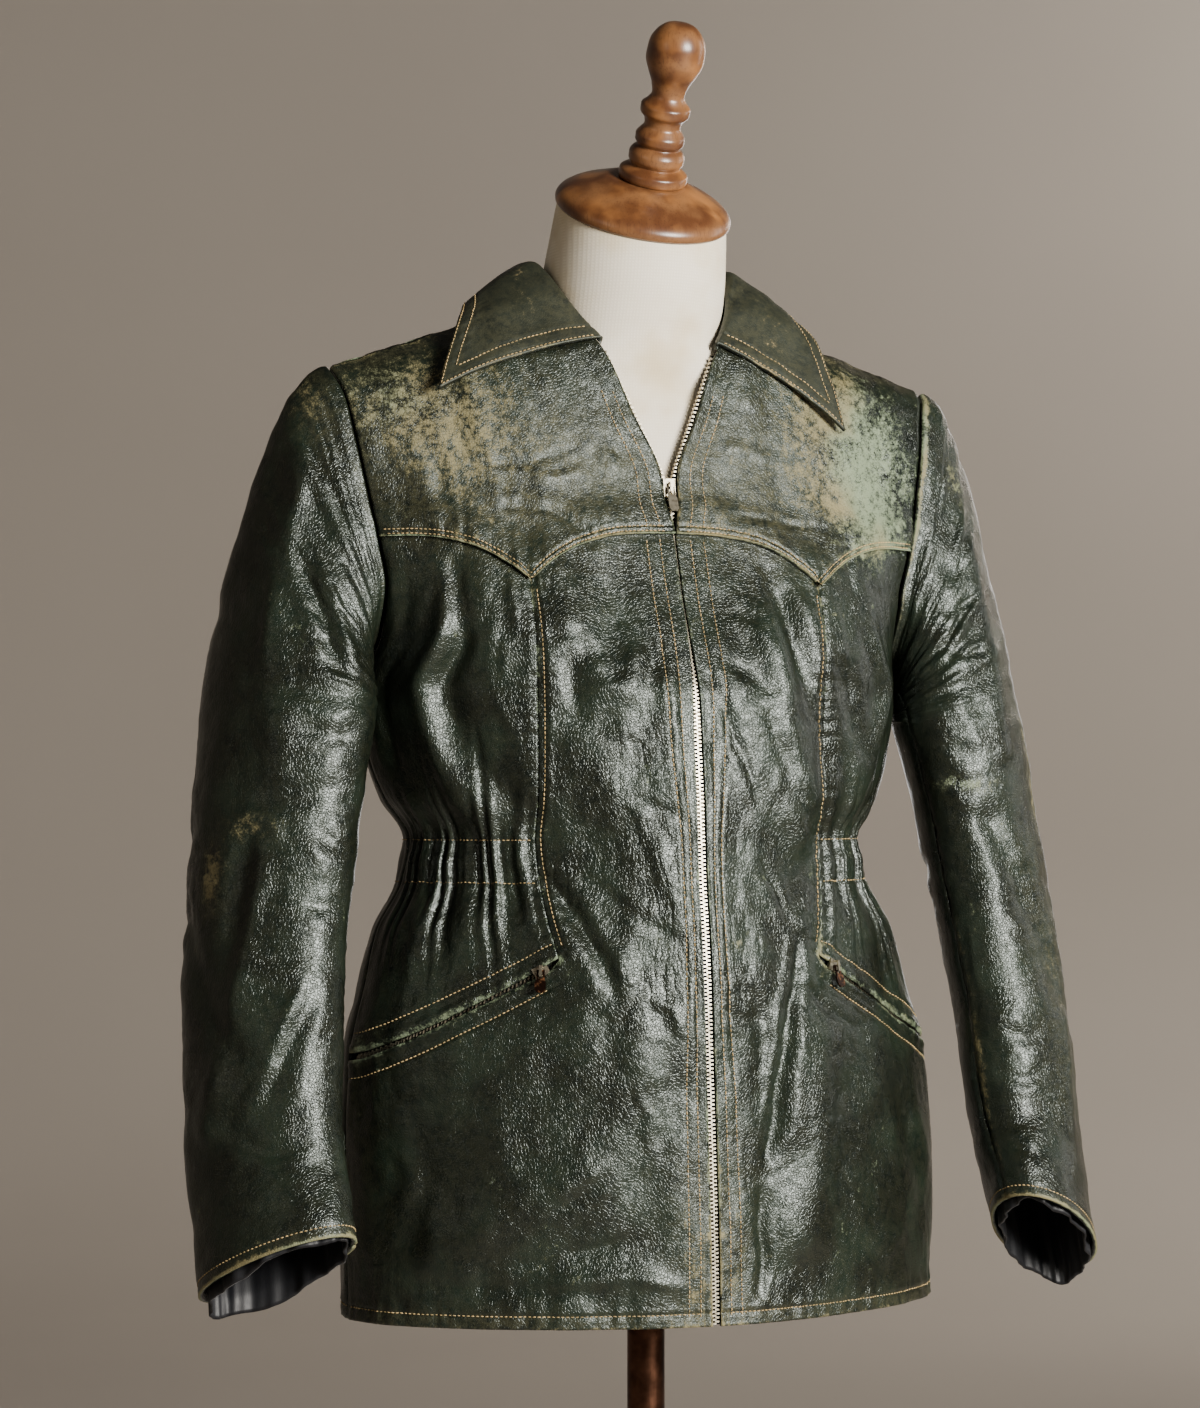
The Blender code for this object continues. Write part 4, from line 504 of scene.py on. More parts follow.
# Creases of the cloth under their surface and side, each a bent line.
# Columns: points (across, row), half_width and rise in mm. On the sleeves a point is (share round, way down).
CREASES = {
    ("front", -1): (
        # chest
        (((0.30, 1184), (0.29, 1157), (0.27, 1132)), 9, 1.6),
        (((0.28, 1122), (0.27, 1106), (0.27, 1088)), 6, -2.0),
        (((0.22, 1125), (0.20, 1113), (0.19, 1101)), 6, 1.4),
        (((0.10, 1130), (0.14, 1110), (0.18, 1095)), 7, 1.6),
        (((0.13, 1149), (0.08, 1126), (0.11, 1088)), 5, -1.4),
        (((0.24, 1108), (0.18, 1110), (0.12, 1117)), 3, -0.5),
        (((0.35, 1135), (0.27, 1135), (0.22, 1123)), 3.5, -0.7),
        (((0.33, 1086), (0.23, 1079), (0.16, 1090)), 6, -1.0),
        (((0.17, 1179), (0.15, 1152), (0.19, 1126)), 9, -1.2),
        (((0.20, 1035), (0.13, 1029), (0.05, 1022)), 3, -0.5),
        (((0.06, 1134), (0.05, 1084), (0.05, 1033)), 5, 1.2),
        # skirt
        (((0.46, 986), (0.37, 961), (0.29, 931), (0.26, 913)), 4.5, -3.0),
        (((0.43, 967), (0.34, 916), (0.28, 858)), 13, 3.0),
        (((0.16, 1012), (0.13, 989), (0.10, 970)), 7, 1.6),
        (((0.34, 983), (0.22, 961), (0.08, 946)), 3.5, -0.8),
        (((0.17, 910), (0.11, 903), (0.08, 889)), 4, 1.3),
        (((0.19, 852), (0.16, 836), (0.15, 814)), 4, 1.3),
        (((0.26, 799), (0.30, 790), (0.36, 779)), 3.5, -1.1),
        (((0.36, 733), (0.20, 737), (0.07, 729)), 5, 1.8),
        (((0.68, 731), (0.49, 729), (0.29, 728)), 5, -1.5),
        (((0.33, 753), (0.27, 755), (0.21, 757)), 3.5, -1.0),
        (((0.59, 902), (0.50, 858), (0.47, 796)), 18, 1.6),
        (((0.84, 860), (0.80, 810), (0.83, 750)), 10, 1.6),
        (((0.70, 840), (0.66, 800), (0.70, 760)), 7, -1.6),
        # side front
        (((0.80, 1185), (0.73, 1148), (0.66, 1097), (0.66, 1035)), 8, 2.6),
        (((0.72, 1180), (0.62, 1124), (0.60, 1059)), 8, -2.2),
        (((0.92, 1170), (0.84, 1103), (0.82, 1040)), 8, -2.0),
        (((0.48, 1172), (0.46, 1157), (0.45, 1142)), 4, 1.2),
        (((0.48, 1131), (0.46, 1122), (0.44, 1112)), 3.5, 1.1),
        (((0.47, 1100), (0.45, 1089), (0.44, 1078)), 3.5, 1.1),
        (((0.55, 1143), (0.51, 1125), (0.48, 1108)), 4, 0.9),
        (((0.50, 1071), (0.52, 1046), (0.58, 1015)), 6, 1.4),
        (((0.82, 978), (0.78, 952), (0.77, 917)), 6, 2.2),
        (((0.74, 978), (0.70, 951), (0.69, 933)), 6, -2.0),
        (((0.67, 978), (0.62, 957), (0.60, 940)), 5, 1.4),
        (((0.58, 979), (0.57, 967), (0.55, 951)), 5, 1.3),
        # yoke
        (((0.59, 1254), (0.36, 1254), (0.20, 1262)), 2.5, -0.6),
        (((0.42, 1246), (0.29, 1243), (0.21, 1247)), 3.5, 0.9),
        (((0.15, 1260), (0.13, 1254), (0.10, 1248)), 6, 1.2),
        (((0.47, 1224), (0.32, 1220), (0.23, 1206), (0.20, 1197)), 3.5, -1.1),
        (((0.28, 1223), (0.20, 1218), (0.12, 1211)), 7, 1.0),
        (((0.80, 1290), (0.74, 1262), (0.72, 1232)), 9, -1.0),
    ),
    ("front", 1): (
        # chest
        (((0.21, 1186), (0.26, 1151), (0.27, 1110), (0.28, 1090)), 7, -2.6),
        (((0.12, 1171), (0.18, 1140), (0.20, 1116), (0.24, 1085)), 10, 1.6),
        (((0.29, 1171), (0.34, 1141), (0.33, 1095)), 8, 1.8),
        (((0.14, 1097), (0.19, 1075), (0.28, 1040), (0.40, 1014)), 5.5, -2.6),
        (((0.04, 1134), (0.08, 1104), (0.16, 1082)), 10, 1.8),
        (((0.03, 1109), (0.09, 1070), (0.18, 1031)), 3, -1.0),
        (((0.12, 1152), (0.17, 1145), (0.21, 1133)), 4, -0.9),
        (((0.06, 1122), (0.11, 1114), (0.17, 1104)), 4, -0.9),
        (((0.17, 1081), (0.24, 1052), (0.34, 1027)), 8, 1.4),
        # skirt
        (((0.19, 947), (0.18, 913), (0.18, 888)), 8, 1.6),
        (((0.33, 947), (0.31, 928), (0.25, 893), (0.20, 855), (0.18, 828), (0.15, 810)), 4, -3.2),
        (((0.33, 915), (0.27, 878), (0.24, 842), (0.21, 814)), 8, 1.8),
        (((0.20, 900), (0.19, 868), (0.15, 837)), 6, 1.2),
        (((0.32, 916), (0.38, 900), (0.47, 887)), 3.5, -1.2),
        (((0.40, 975), (0.35, 959), (0.33, 944)), 4.5, 1.4),
        (((0.13, 786), (0.12, 768), (0.13, 747), (0.11, 723)), 2.8, -1.8),
        (((0.15, 799), (0.17, 780), (0.16, 755)), 7, 1.3),
        (((0.59, 754), (0.55, 746), (0.52, 735)), 5, 1.4),
        (((0.59, 846), (0.65, 809), (0.75, 771)), 9, -2.0),
        (((0.05, 901), (0.11, 894), (0.17, 897)), 4, -1.0),
        (((0.04, 917), (0.11, 921), (0.16, 916)), 5, 1.0),
        (((0.21, 995), (0.27, 975), (0.30, 953)), 3, -0.9),
        # side front
        (((0.76, 1126), (0.64, 1100), (0.60, 1072)), 8, 2.2),
        (((0.44, 1115), (0.46, 1092), (0.51, 1072)), 7, -2.2),
        (((0.46, 1155), (0.45, 1134), (0.45, 1119)), 5, 1.2),
        (((0.52, 1060), (0.54, 1040), (0.63, 1017)), 5, 1.5),
        (((0.64, 1054), (0.71, 1033), (0.84, 1014)), 5, 1.5),
        (((0.50, 971), (0.47, 955), (0.46, 943)), 4, 1.2),
        (((0.55, 974), (0.53, 958), (0.52, 943)), 4, 1.1),
        (((0.63, 972), (0.62, 954), (0.64, 938)), 4.5, 1.1),
        # yoke
        (((0.13, 1265), (0.19, 1263), (0.27, 1259)), 3.5, 0.9),
        (((0.13, 1217), (0.27, 1216), (0.47, 1212)), 2.5, -0.6),
        (((0.04, 1227), (0.08, 1221), (0.13, 1212)), 8, 1.2),
        (((0.61, 1246), (0.62, 1231), (0.63, 1214)), 6, 0.7),
    ),
    ("back", -1): (
        # from the blades to the waist, and flutes of the skirt, uneven like those in front
        (((0.20, 1235), (0.34, 1165), (0.50, 1075)), 8, 2.0),
        (((0.12, 1190), (0.26, 1130), (0.44, 1050)), 6, -2.4),
        (((0.62, 1150), (0.66, 1095), (0.72, 1035)), 7, -2.0),
        (((0.82, 1080), (0.86, 1050), (0.88, 1025)), 5, 1.6),
        (((0.90, 1270), (0.70, 1262), (0.52, 1268)), 5, -1.4),
        (((0.60, 970), (0.54, 900), (0.52, 830)), 7, -2.6),
        (((0.30, 975), (0.24, 930), (0.22, 860)), 7, 2.0),
        (((0.84, 968), (0.80, 910), (0.84, 820)), 8, -2.2),
        (((0.34, 760), (0.52, 748), (0.70, 756)), 5, -1.4),
        (((0.10, 905), (0.20, 880), (0.34, 872)), 4, -1.4),
    ),
    ("back", 1): (
        (((0.24, 1228), (0.38, 1160), (0.56, 1080)), 8, 2.0),
        (((0.16, 1180), (0.30, 1120), (0.50, 1046)), 6, -2.2),
        (((0.74, 1170), (0.76, 1100), (0.80, 1040)), 8, -1.8),
        (((0.92, 1120), (0.90, 1075), (0.92, 1030)), 5, 1.4),
        (((0.84, 1240), (0.66, 1232), (0.46, 1242)), 5, -1.2),
        (((0.54, 972), (0.50, 905), (0.44, 815)), 7, -2.6),
        (((0.28, 970), (0.26, 925), (0.20, 850)), 7, 2.0),
        (((0.78, 970), (0.80, 915), (0.76, 830)), 8, -2.0),
        (((0.40, 742), (0.60, 752), (0.80, 744)), 5, -1.4),
        (((0.94, 890), (0.86, 862), (0.74, 850)), 4, 1.4),
    ),
    ("sleeve", -1): (
        (((0.39, 0.37), (0.38, 0.47), (0.36, 0.58)), 4, 1.3),
        (((0.32, 0.56), (0.26, 0.65), (0.21, 0.80)), 6, -2.8),
        (((0.30, 0.50), (0.23, 0.58), (0.18, 0.72)), 6, 1.8),
        (((0.36, 0.67), (0.35, 0.77), (0.35, 0.87)), 5, 1.6),
        (((0.31, 1.23), (0.31, 1.30), (0.32, 1.37), (0.35, 1.54)), 5, 2.4),
        (((0.34, 1.22), (0.345, 1.30), (0.36, 1.40)), 6, -2.2),
        (((0.31, 1.18), (0.29, 1.20), (0.28, 1.23)), 4, 1.4),
        (((0.22, 1.49), (0.26, 1.58), (0.32, 1.71)), 5, 2.0),
        (((0.19, 1.51), (0.24, 1.59), (0.29, 1.72)), 6, -1.8),
        (((0.21, 1.21), (0.16, 1.24), (0.10, 1.25)), 5, -1.4),
        (((0.23, 1.33), (0.18, 1.35), (0.11, 1.34)), 4, -0.9),
        (((0.27, 1.01), (0.21, 1.04), (0.15, 1.03)), 6, -1.2),
        (((0.35, 1.77), (0.29, 1.80), (0.21, 1.79)), 6, -1.2),
        (((0.50, 1.20), (0.58, 1.26), (0.68, 1.24)), 6, -2.0),
        (((0.52, 1.36), (0.62, 1.42), (0.74, 1.38)), 6, -2.0),
        (((0.66, 0.80), (0.74, 0.90), (0.84, 0.92)), 7, -1.8),
        (((0.80, 1.20), (0.88, 1.28), (0.95, 1.26)), 6, -2.0),
    ),
    ("sleeve", 1): (
        (((0.12, 0.56), (0.19, 0.61), (0.26, 0.57)), 6, -1.8),
        (((0.20, 0.38), (0.23, 0.52), (0.29, 0.58)), 4, -1.2),
        (((0.18, 0.58), (0.22, 0.71), (0.27, 0.75)), 4, -1.2),
        (((0.15, 0.86), (0.19, 1.00), (0.21, 1.08)), 7, 1.4),
        (((0.25, 0.28), (0.27, 0.44), (0.33, 0.52)), 4, -1.0),
        (((0.10, 1.10), (0.15, 1.12), (0.21, 1.11)), 5, -1.4),
        (((0.21, 1.29), (0.25, 1.30), (0.30, 1.29)), 4, -1.0),
        (((0.19, 1.41), (0.22, 1.42), (0.29, 1.41)), 4, -1.0),
        (((0.15, 1.60), (0.19, 1.62), (0.24, 1.60)), 5, -1.2),
        (((0.11, 1.68), (0.17, 1.70), (0.24, 1.68)), 4, -1.0),
        (((0.09, 1.41), (0.08, 1.47), (0.08, 1.52)), 4, 1.0),
        (((0.37, 1.32), (0.36, 1.42), (0.34, 1.53)), 8, -1.8),
        (((0.10, 1.87), (0.15, 1.90), (0.23, 1.86)), 5, -1.0),
        (((0.50, 1.18), (0.60, 1.25), (0.70, 1.22)), 6, -2.0),
        (((0.54, 1.34), (0.62, 1.38), (0.72, 1.36)), 6, -1.8),
        (((0.68, 0.78), (0.76, 0.90), (0.86, 0.94)), 7, -1.8),
        (((0.80, 1.24), (0.88, 1.30), (0.95, 1.28)), 6, -2.0),
    ),
}
SEAM_GROOVE, SEAM_ROLL = 1.4, 2.6        # how far the hide turns down at a seam, and over what width, in mm
PLACKET_ROWS = (6.5, 13.0)               # stitch lines beside the front zip, in mm from the edge
HEM_ROW, CUFF_ROW = 8.0, 7.0             # stitch lines above the hem and cuff
YOKE_ROWS = (1.8, 5.2)                   # stitch lines above the yoke's edge
COLLAR_ROWS = (1.7, 10.5)                # stitch lines inside the collar's edge
POCKET_ROW = 11.5                        # stitch lines beside the pocket zip
PRINCESS_STITCH = 3.2                    # stitch line beside the princess seam
ZIP_RUN, PRINCESS_RUN = 0.92, 0.85       # mm across beside the zip and the princess seam, over the mean girth's
POCKET_SLANT = 0.875                     # mm square to the pocket zip over mm of height
THREAD_LIFT = 0.3                        # the threads' middle line over the hide


# ---------------------------------------------------------------- unevenness

LATTICE = np.random.default_rng(11).random((8, 64, 64))


def cloud(x, y, layer):
    """Smooth random height from 0 to 1 on a lattice of one unit, blended by a cubic between its corners."""
    xi, yi = np.floor(x).astype(int), np.floor(y).astype(int)
    fx, fy = x - xi, y - yi
    fx, fy = fx * fx * (3 - 2 * fx), fy * fy * (3 - 2 * fy)
    grid = LATTICE[layer]
    x0, x1, y0, y1 = xi % 64, (xi + 1) % 64, yi % 64, (yi + 1) % 64
    low = grid[x0, y0] + (grid[x1, y0] - grid[x0, y0]) * fx
    high = grid[x0, y1] + (grid[x1, y1] - grid[x0, y1]) * fx
    return low + (high - low) * fy


def vein(x, y, layer, sharp=5):
    """Thin winding lines: 1 along the middle level of a cloud, falling off to the power sharp."""
    return (1 - np.abs(2 * cloud(x, y, layer) - 1)) ** sharp


def hide_relief(x, y, stretch_x, stretch_y, seed, crinkle=1.0):
    """Unevenness of worn hide in mm, at x and y in mm: slow swells, short hollows, and thin crinkle troughs."""
    sx, sy = x + 311.0 * seed, y + 173.0 * seed
    bend = 6 * (cloud(sx / 24, sy / 24, 4) - 0.5)
    swell = 2.2 * (cloud(sx / (25 * stretch_x), sy / (25 * stretch_y), 0) - 0.5)
    hollow = 0.9 * (cloud((sx + bend) / (12 * stretch_x), (sy - bend) / (12 * stretch_y), 1) - 0.5)
    lines = 0.42 * vein((sx + bend) / (9 * stretch_x), (sy + bend) / (9 * stretch_y), 2)
    small = 0.24 * vein((sx - bend) / (4.6 * stretch_x), (sy + bend) / (4.6 * stretch_y), 3, 4)
    patch = smooth_step(cloud(sx / 38, sy / 38, 5), 0.25, 0.75)
    return swell + hollow - crinkle * patch * (lines + small)


def line_distance(x, y, points):
    """Distance in mm to a bent line, and the share of the way along it."""
    best, along = np.full(np.shape(x), 1e9), np.zeros(np.shape(x))
    count = len(points) - 1
    for i, ((x0, y0), (x1, y1)) in enumerate(zip(points, points[1:])):
        dx, dy = x1 - x0, y1 - y0
        s = np.clip(((x - x0) * dx + (y - y0) * dy) / (dx * dx + dy * dy), 0, 1)
        far = np.hypot(x - x0 - s * dx, y - y0 - s * dy)
        near = far < best
        best, along = np.where(near, far, best), np.where(near, (i + s) / count, along)
    return best, along


def crease_relief(surface, side, x, y, scale):
    """Sum of the table's creases: a bell across each line that dies at both ends, with a soft lip beside a trough."""
    out = np.zeros(np.shape(x))
    wander = 2.2 * (cloud(x / 11, y / 11, 6) - 0.5)
    for points, half, rise in CREASES[surface, side]:
        far, along = line_distance(x, y, [(a * scale[0], b * scale[1]) for a, b in points])
        far = np.abs(far + wander)
        fade = smooth_step(along, -0.25, 0.3) * smooth_step(1 - along, -0.25, 0.3)
        bell = hump(far, half)
        if rise < 0:
            bell = bell - 0.40 * hump(far - 2.1 * half, 1.1 * half)
        out = out + rise * fade * bell
    return out


def turn_down(distance):
    """The hide rolls down into a seam."""
    return -SEAM_GROOVE * hump(np.maximum(distance, 0), SEAM_ROLL)


def sunk_row(distance, depth=0.55, half=1.0):
    """A line of stitches draws the hide down, and it stands up a little on both sides."""
    return depth * (0.45 * hump(np.abs(distance) - 2.6, 1.6) - hump(distance, half))


def pucker(along, distance, reach, pitch=8.5, depth=0.42):
    """Small ripples that run out from a sewn line, uneven in pitch."""
    wave = np.sin(2 * math.pi * (along / pitch + 1.4 * cloud(along / 17, 0 * along, 7)))
    return depth * wave * hump(np.abs(distance), reach) * (0.4 + cloud(along / 13, 0 * along + 3, 6))


def drawn_in(count, share, v, seed):
    """Gathers of the elastic: the solids' wave with uneven width, and each fold dying at its own height."""
    warp = share + 0.30 / count * np.sin(2 * math.pi * (count * share * 0.37 + seed))
    wave = np.cos(2 * math.pi * count * warp) * (1 + 0.35 * np.sin(11.0 * share + 0.8))
    sharp = np.sign(wave) * np.abs(wave) ** 0.8
    reach = 9 + 30 * cloud(share * count * 0.8 + 5 * seed, 0 * share, 2) ** 1.5 + 12 * (v < WAIST_LOW)
    outside = np.maximum(np.maximum(WAIST_LOW - v, v - WAIST_HIGH), 0)
    ends = smooth_step(share, 0, 0.10) * smooth_step(1 - share, 0, 0.10)
    middle = (WAIST_LOW + WAIST_HIGH) / 2
    puff = WAIST_PUFF * hump(v - middle, 8.0)
    second = 0.35 * np.cos(2 * math.pi * (1.7 * count * share + 0.3)) * hump(outside, 9.0)
    rows = sunk_row(v - WAIST_LOW, 0.8, 1.3) + sunk_row(v - WAIST_HIGH, 0.8, 1.3)
    return (GATHER_DEPTH * sharp * np.exp(-((outside / reach) ** 1.4)) + second + puff + rows) * ends


def body_crinkle(v):
    """How much the hide is crinkled at a height: most round the waist and just above the hem."""
    return 0.7 + 0.5 * hump(v - 940, 60) + 0.5 * hump(v - 730, 30)


def front_relief(side, t, v):
    """Everything finer than the solids' folds on the front: creases, seams, stitch lines and crinkles."""
    x, y = t * QUARTER_GIRTH, v
    width = front_base(t, v)[..., 0]
    seam = princess(v)
    out = crease_relief("front", side, x, y, (QUARTER_GIRTH, 1.0))
    out = out + hide_relief(x, y, 0.85, 1.7, 1 if side > 0 else 2, body_crinkle(v))
    from_princess = (t - seam) * PRINCESS_RUN * QUARTER_GIRTH
    above_pocket = smooth_step(v - pocket_line(width), -2, 2)
    below_yoke = smooth_step(yoke_seam(width) + LAP - v, -1, 1)
    on_seam = above_pocket * below_yoke
    out = out + on_seam * (turn_down(np.abs(from_princess)) + sunk_row(from_princess + PRINCESS_STITCH)
                           + pucker(v, from_princess, 9.0))
    return out


def calm(t, v):
    """Fades relief at the zip edge and at the neck and armhole, where the solids meet closely."""
    edge = smooth_step(t * QUARTER_GIRTH, 0.0, 10.0) * 0.8 + 0.2
    return edge * (0.35 + 0.65 * smooth_step((1 - t) * QUARTER_GIRTH, 0.0, 10.0))


def panel_relief(side, t, v, part):
    """Relief of a front panel: part is centre, side or yoke."""
    width = front_base(t, v)[..., 0]
    out = front_relief(side, t, v) * calm(t, v)
    to_zip = t * QUARTER_GIRTH * ZIP_RUN
    to_side = (1 - t) * QUARTER_GIRTH
    if part in ("centre", "yoke"):
        ridges = sum(sunk_row(to_zip - row, 0.28, 1.0) for row in PLACKET_ROWS)
        out = out + ridges * smooth_step(1330 - v, 0, 30) + 0.5 * hump(to_zip, 2.0)
    if part != "yoke":
        pocket = (v - pocket_line(width)) * POCKET_SLANT
        near = smooth_step(width, POCKET_X - 6, POCKET_X + 2) * smooth_step(to_side, 2, 6)
        lip = 1.1 * hump(np.abs(pocket) - 4.0, 2.2)
        out = out + near * (lip + sunk_row(np.abs(pocket) - POCKET_ROW) + pucker(width, pocket, 12.0, 10.0, 0.35))
        out = out + turn_down(to_side)
        under_lap = smooth_step(v - yoke_seam(width), -6, 0)
        out = out - 0.5 * under_lap
    if part == "centre":
        hem = v - HEM
        out = out + sunk_row(hem - HEM_ROW, 0.8, 1.1) + pucker(t * QUARTER_GIRTH, hem - HEM_ROW, 9.0, 12.0, 0.5)
        out = out + 0.5 * hump(hem, 4.0)
    if part == "yoke":
        up = v - yoke_seam(width)
        lift = LAP_RISE * (1 - smooth_step(up, LAP + 2, LAP + 26))
        rolled = 0.7 * hump(up, 1.6)
        out = out + lift + rolled + sum(sunk_row(up - row, 0.55, 0.8) for row in YOKE_ROWS)
        out = out + pucker(width, up - YOKE_ROWS[1], 10.0, 9.0, 0.35) + turn_down(to_side)
    return out


def back_relief(side, t, v, share):
    """Everything finer than the solids' folds on the back; share is the way across the whole back."""
    x, y = t * QUARTER_GIRTH, v
    out = crease_relief("back", side, x, y, (QUARTER_GIRTH, 1.0))
    out = out + hide_relief(share * 2 * QUARTER_GIRTH, y, 0.95, 1.6, 3, body_crinkle(v))
    out = out * smooth_step(t, 0.0, 0.05)
    hem = v - HEM
    out = out + sunk_row(hem - HEM_ROW, 0.8, 1.1) + pucker(share * 500, hem - HEM_ROW, 9.0, 12.0, 0.5)
    out = out + turn_down(t * QUARTER_GIRTH) + drawn_in(BACK_GATHERS, share, v, 3)
    return out + turn_down((SHOULDER - v) * smooth_step(SHOULDER - v, -5, 60) + 3)


def sleeve_relief(side, share, down):
    """Everything finer than the solids' folds on a sleeve, strongest at the elbow and under the cap."""
    x, y = share * SLEEVE_GIRTH, down * SLEEVE_LENGTH
    out = crease_relief("sleeve", side, x, y, (SLEEVE_GIRTH, SLEEVE_LENGTH))
    elbow = hump(down - 1.3, 0.28) + hump(down - 0.62, 0.22)
    out = out + hide_relief(x, y, 1.5, 0.8, 4 if side > 0 else 5, 0.6 + 0.7 * elbow)
    cuff = (2.0 - down) * SLEEVE_LENGTH
    out = out * smooth_step(down, 0.02, 0.20) * (0.3 + 0.7 * smooth_step(cuff, 0, 20))
    for seam in (FRONT_SLEEVE_SEAM, BACK_SLEEVE_SEAM):
        off = (np.mod(share - seam + 0.5, 1.0) - 0.5) * SLEEVE_GIRTH
        out = out + 0.8 * turn_down(np.abs(off)) + pucker(y, off, 7.0, 10.0, 0.3) * smooth_step(down, 0.1, 0.3)
    out = out + sunk_row(cuff - CUFF_ROW, 0.6, 1.0) + 0.4 * hump(cuff, 3.0)
    return out + turn_down(down * SLEEVE_LENGTH * 0.5 + 0.8)


# ---------------------------------------------------------------- meshes


def add_piece(name, points_mm, faces, surface, values=None, smooth=True):
    """A piece in metres, with per-point values such as wear, riding on the jacket and form's body."""
    mesh = bpy.data.meshes.new(name)
    points = np.asarray(points_mm, float).reshape(-1, 3) * MM
    mesh.from_pydata(points.tolist(), [], faces)
    mesh.update()
    if smooth:
        mesh.shade_smooth()
    for key, value in (values or {}).items():
        layer = mesh.attributes.new(key, "FLOAT", "POINT")
        layer.data.foreach_set("value", np.asarray(value, np.float32).ravel())
    mesh.materials.append(surface)
    made = bpy.data.objects.new(name, mesh)
    bpy.context.scene.collection.objects.link(made)
    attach(made, "jacket_on_form")
    return made


def grid_faces(rows, columns, start=0, closed=False, flip=False):
    """Four-sided faces of a grid of points."""
    last = columns if closed else columns - 1
    i, j = np.meshgrid(np.arange(rows - 1), np.arange(last), indexing="ij")
    k = (j + 1) % columns
    quad = np.stack([i * columns + j, i * columns + k, (i + 1) * columns + k, (i + 1) * columns + j], -1)
    quad = quad.reshape(-1, 4) + start
    return (quad[:, ::-1] if flip else quad).tolist()


def ring_faces(rings, sides):
    """Faces of a closed solid through equal rings, with flat ends."""
    first, last = range(sides), range((rings - 1) * sides, rings * sides)
    return [tuple(first)[::-1], tuple(last)] + grid_faces(rings, sides, 0, True)


def lowest_near(values, reach):
    """The lowest value within reach steps of each point, along rows and then columns."""
    out = values
    for axis in (0, 1):
        pad = [(reach, reach) if a == axis else (0, 0) for a in (0, 1)]
        wide = np.pad(out, pad, mode="edge")
        size = out.shape[axis]
        out = np.min([np.take(wide, np.arange(size) + s, axis=axis) for s in range(2 * reach + 1)], axis=0)
    return out


def hide_wall(name, base, normal, relief, surface, node_names, values, step=5, flip=False, thick=LEATHER):
    """A closed wall: the outer face takes every point, the inner one every step-th, under the lowest point near it.

    The rim's faces join step points of the outer edge to each edge of the inner face."""
    rows, columns = relief.shape
    outer = base + relief[..., None] * normal
    low = np.minimum(lowest_near(relief, step), 0.6) - thick
    inner = (base + low[..., None] * normal)[::step, ::step]
    m, n = inner.shape[:2]
    start = rows * columns
    faces = grid_faces(rows, columns, 0, flip=flip) + grid_faces(m, n, start, flip=not flip)

    def rim(outer_line, inner_line, turn):
        for a in range(len(inner_line) - 1):
            face = [start + inner_line[a + 1], start + inner_line[a]]
            face += [int(p) for p in outer_line[a * step:(a + 1) * step + 1]]
            faces.append(face[::-1] if turn else face)

    index = np.arange(rows * columns).reshape(rows, columns)
    inside = np.arange(m * n).reshape(m, n)
    rim(index[0], inside[0], not flip)
    rim(index[-1], inside[-1], flip)
    rim(index[:, 0], inside[:, 0], flip)
    rim(index[:, -1], inside[:, -1], not flip)
    points = np.concatenate([outer.reshape(-1, 3), inner.reshape(-1, 3)])
    spread = {key: np.concatenate([np.broadcast_to(value, relief.shape).ravel(), np.zeros(m * n)])
              for key, value in values.items()}
    made = add_piece(name, points, faces, surface, values=spread)
    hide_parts(*node_names)
    return made


def whole_steps(count, step=5):
    """The least number of points that is one more than a multiple of step."""
    return int(math.ceil(count / step)) * step + 1


# ---------------------------------------------------------------- stitches

THREAD_SIDES = 5
STITCH_PITCH, STITCH_LENGTH, THREAD_RADIUS = 3.0, 2.3, 0.42
THREAD_RNG = np.random.default_rng(5)


def stitches(path, normal, pitch=STITCH_PITCH, length=STITCH_LENGTH, radius=THREAD_RADIUS):
    """Points and faces of a row of short threads along a path in mm, each bowed up between its two sunk ends."""
    run = run_along(path)
    at = np.arange(pitch / 2, run[-1] - pitch / 2, pitch)
    middle = np.stack([np.interp(at, run, path[:, i]) for i in range(3)], -1)
    ahead = np.stack([np.interp(at + 0.5, run, path[:, i]) for i in range(3)], -1)
    out = np.stack([np.interp(at, run, normal[:, i]) for i in range(3)], -1)
    along = ahead - middle
    along /= np.linalg.norm(along, axis=1, keepdims=True)
    out /= np.linalg.norm(out, axis=1, keepdims=True)
    aside = np.cross(out, along)
    lean = THREAD_RNG.normal(0, 0.07, len(at))[:, None]
    along, aside = along + lean * aside, aside - lean * along
    angle = 2 * math.pi * np.arange(THREAD_SIDES) / THREAD_SIDES
    shares = np.array([-0.42, 0.0, 0.42])
    swell = np.array([0.72, 1.0, 0.72])
    bow = np.array([-0.10, 0.22, -0.10])
    ring = (np.cos(angle)[:, None] * aside[:, None, None, :] + np.sin(angle)[:, None] * out[:, None, None, :])
    body = (middle[:, None, None, :] + (length * shares)[None, :, None, None] * along[:, None, None, :]
            + bow[None, :, None, None] * out[:, None, None, :] + radius * swell[None, :, None, None] * ring)
    tips = np.stack([middle + s * 0.5 * length * along - 0.35 * out for s in (-1, 1)], 1)
    size = 3 * THREAD_SIDES + 2
    points = np.concatenate([body.reshape(len(at), -1, 3), tips], axis=1)
    one = [tuple(face) for face in grid_faces(3, THREAD_SIDES, 0, True)]
    low_tip, high_tip = 3 * THREAD_SIDES, 3 * THREAD_SIDES + 1
    for j in range(THREAD_SIDES):
        k = (j + 1) % THREAD_SIDES
        one.append((low_tip, k, j))
        one.append((high_tip, 2 * THREAD_SIDES + j, 2 * THREAD_SIDES + k))
    faces = [tuple(p + i * size for p in face) for i in range(len(at)) for face in one]
    return points.reshape(-1, 3), faces


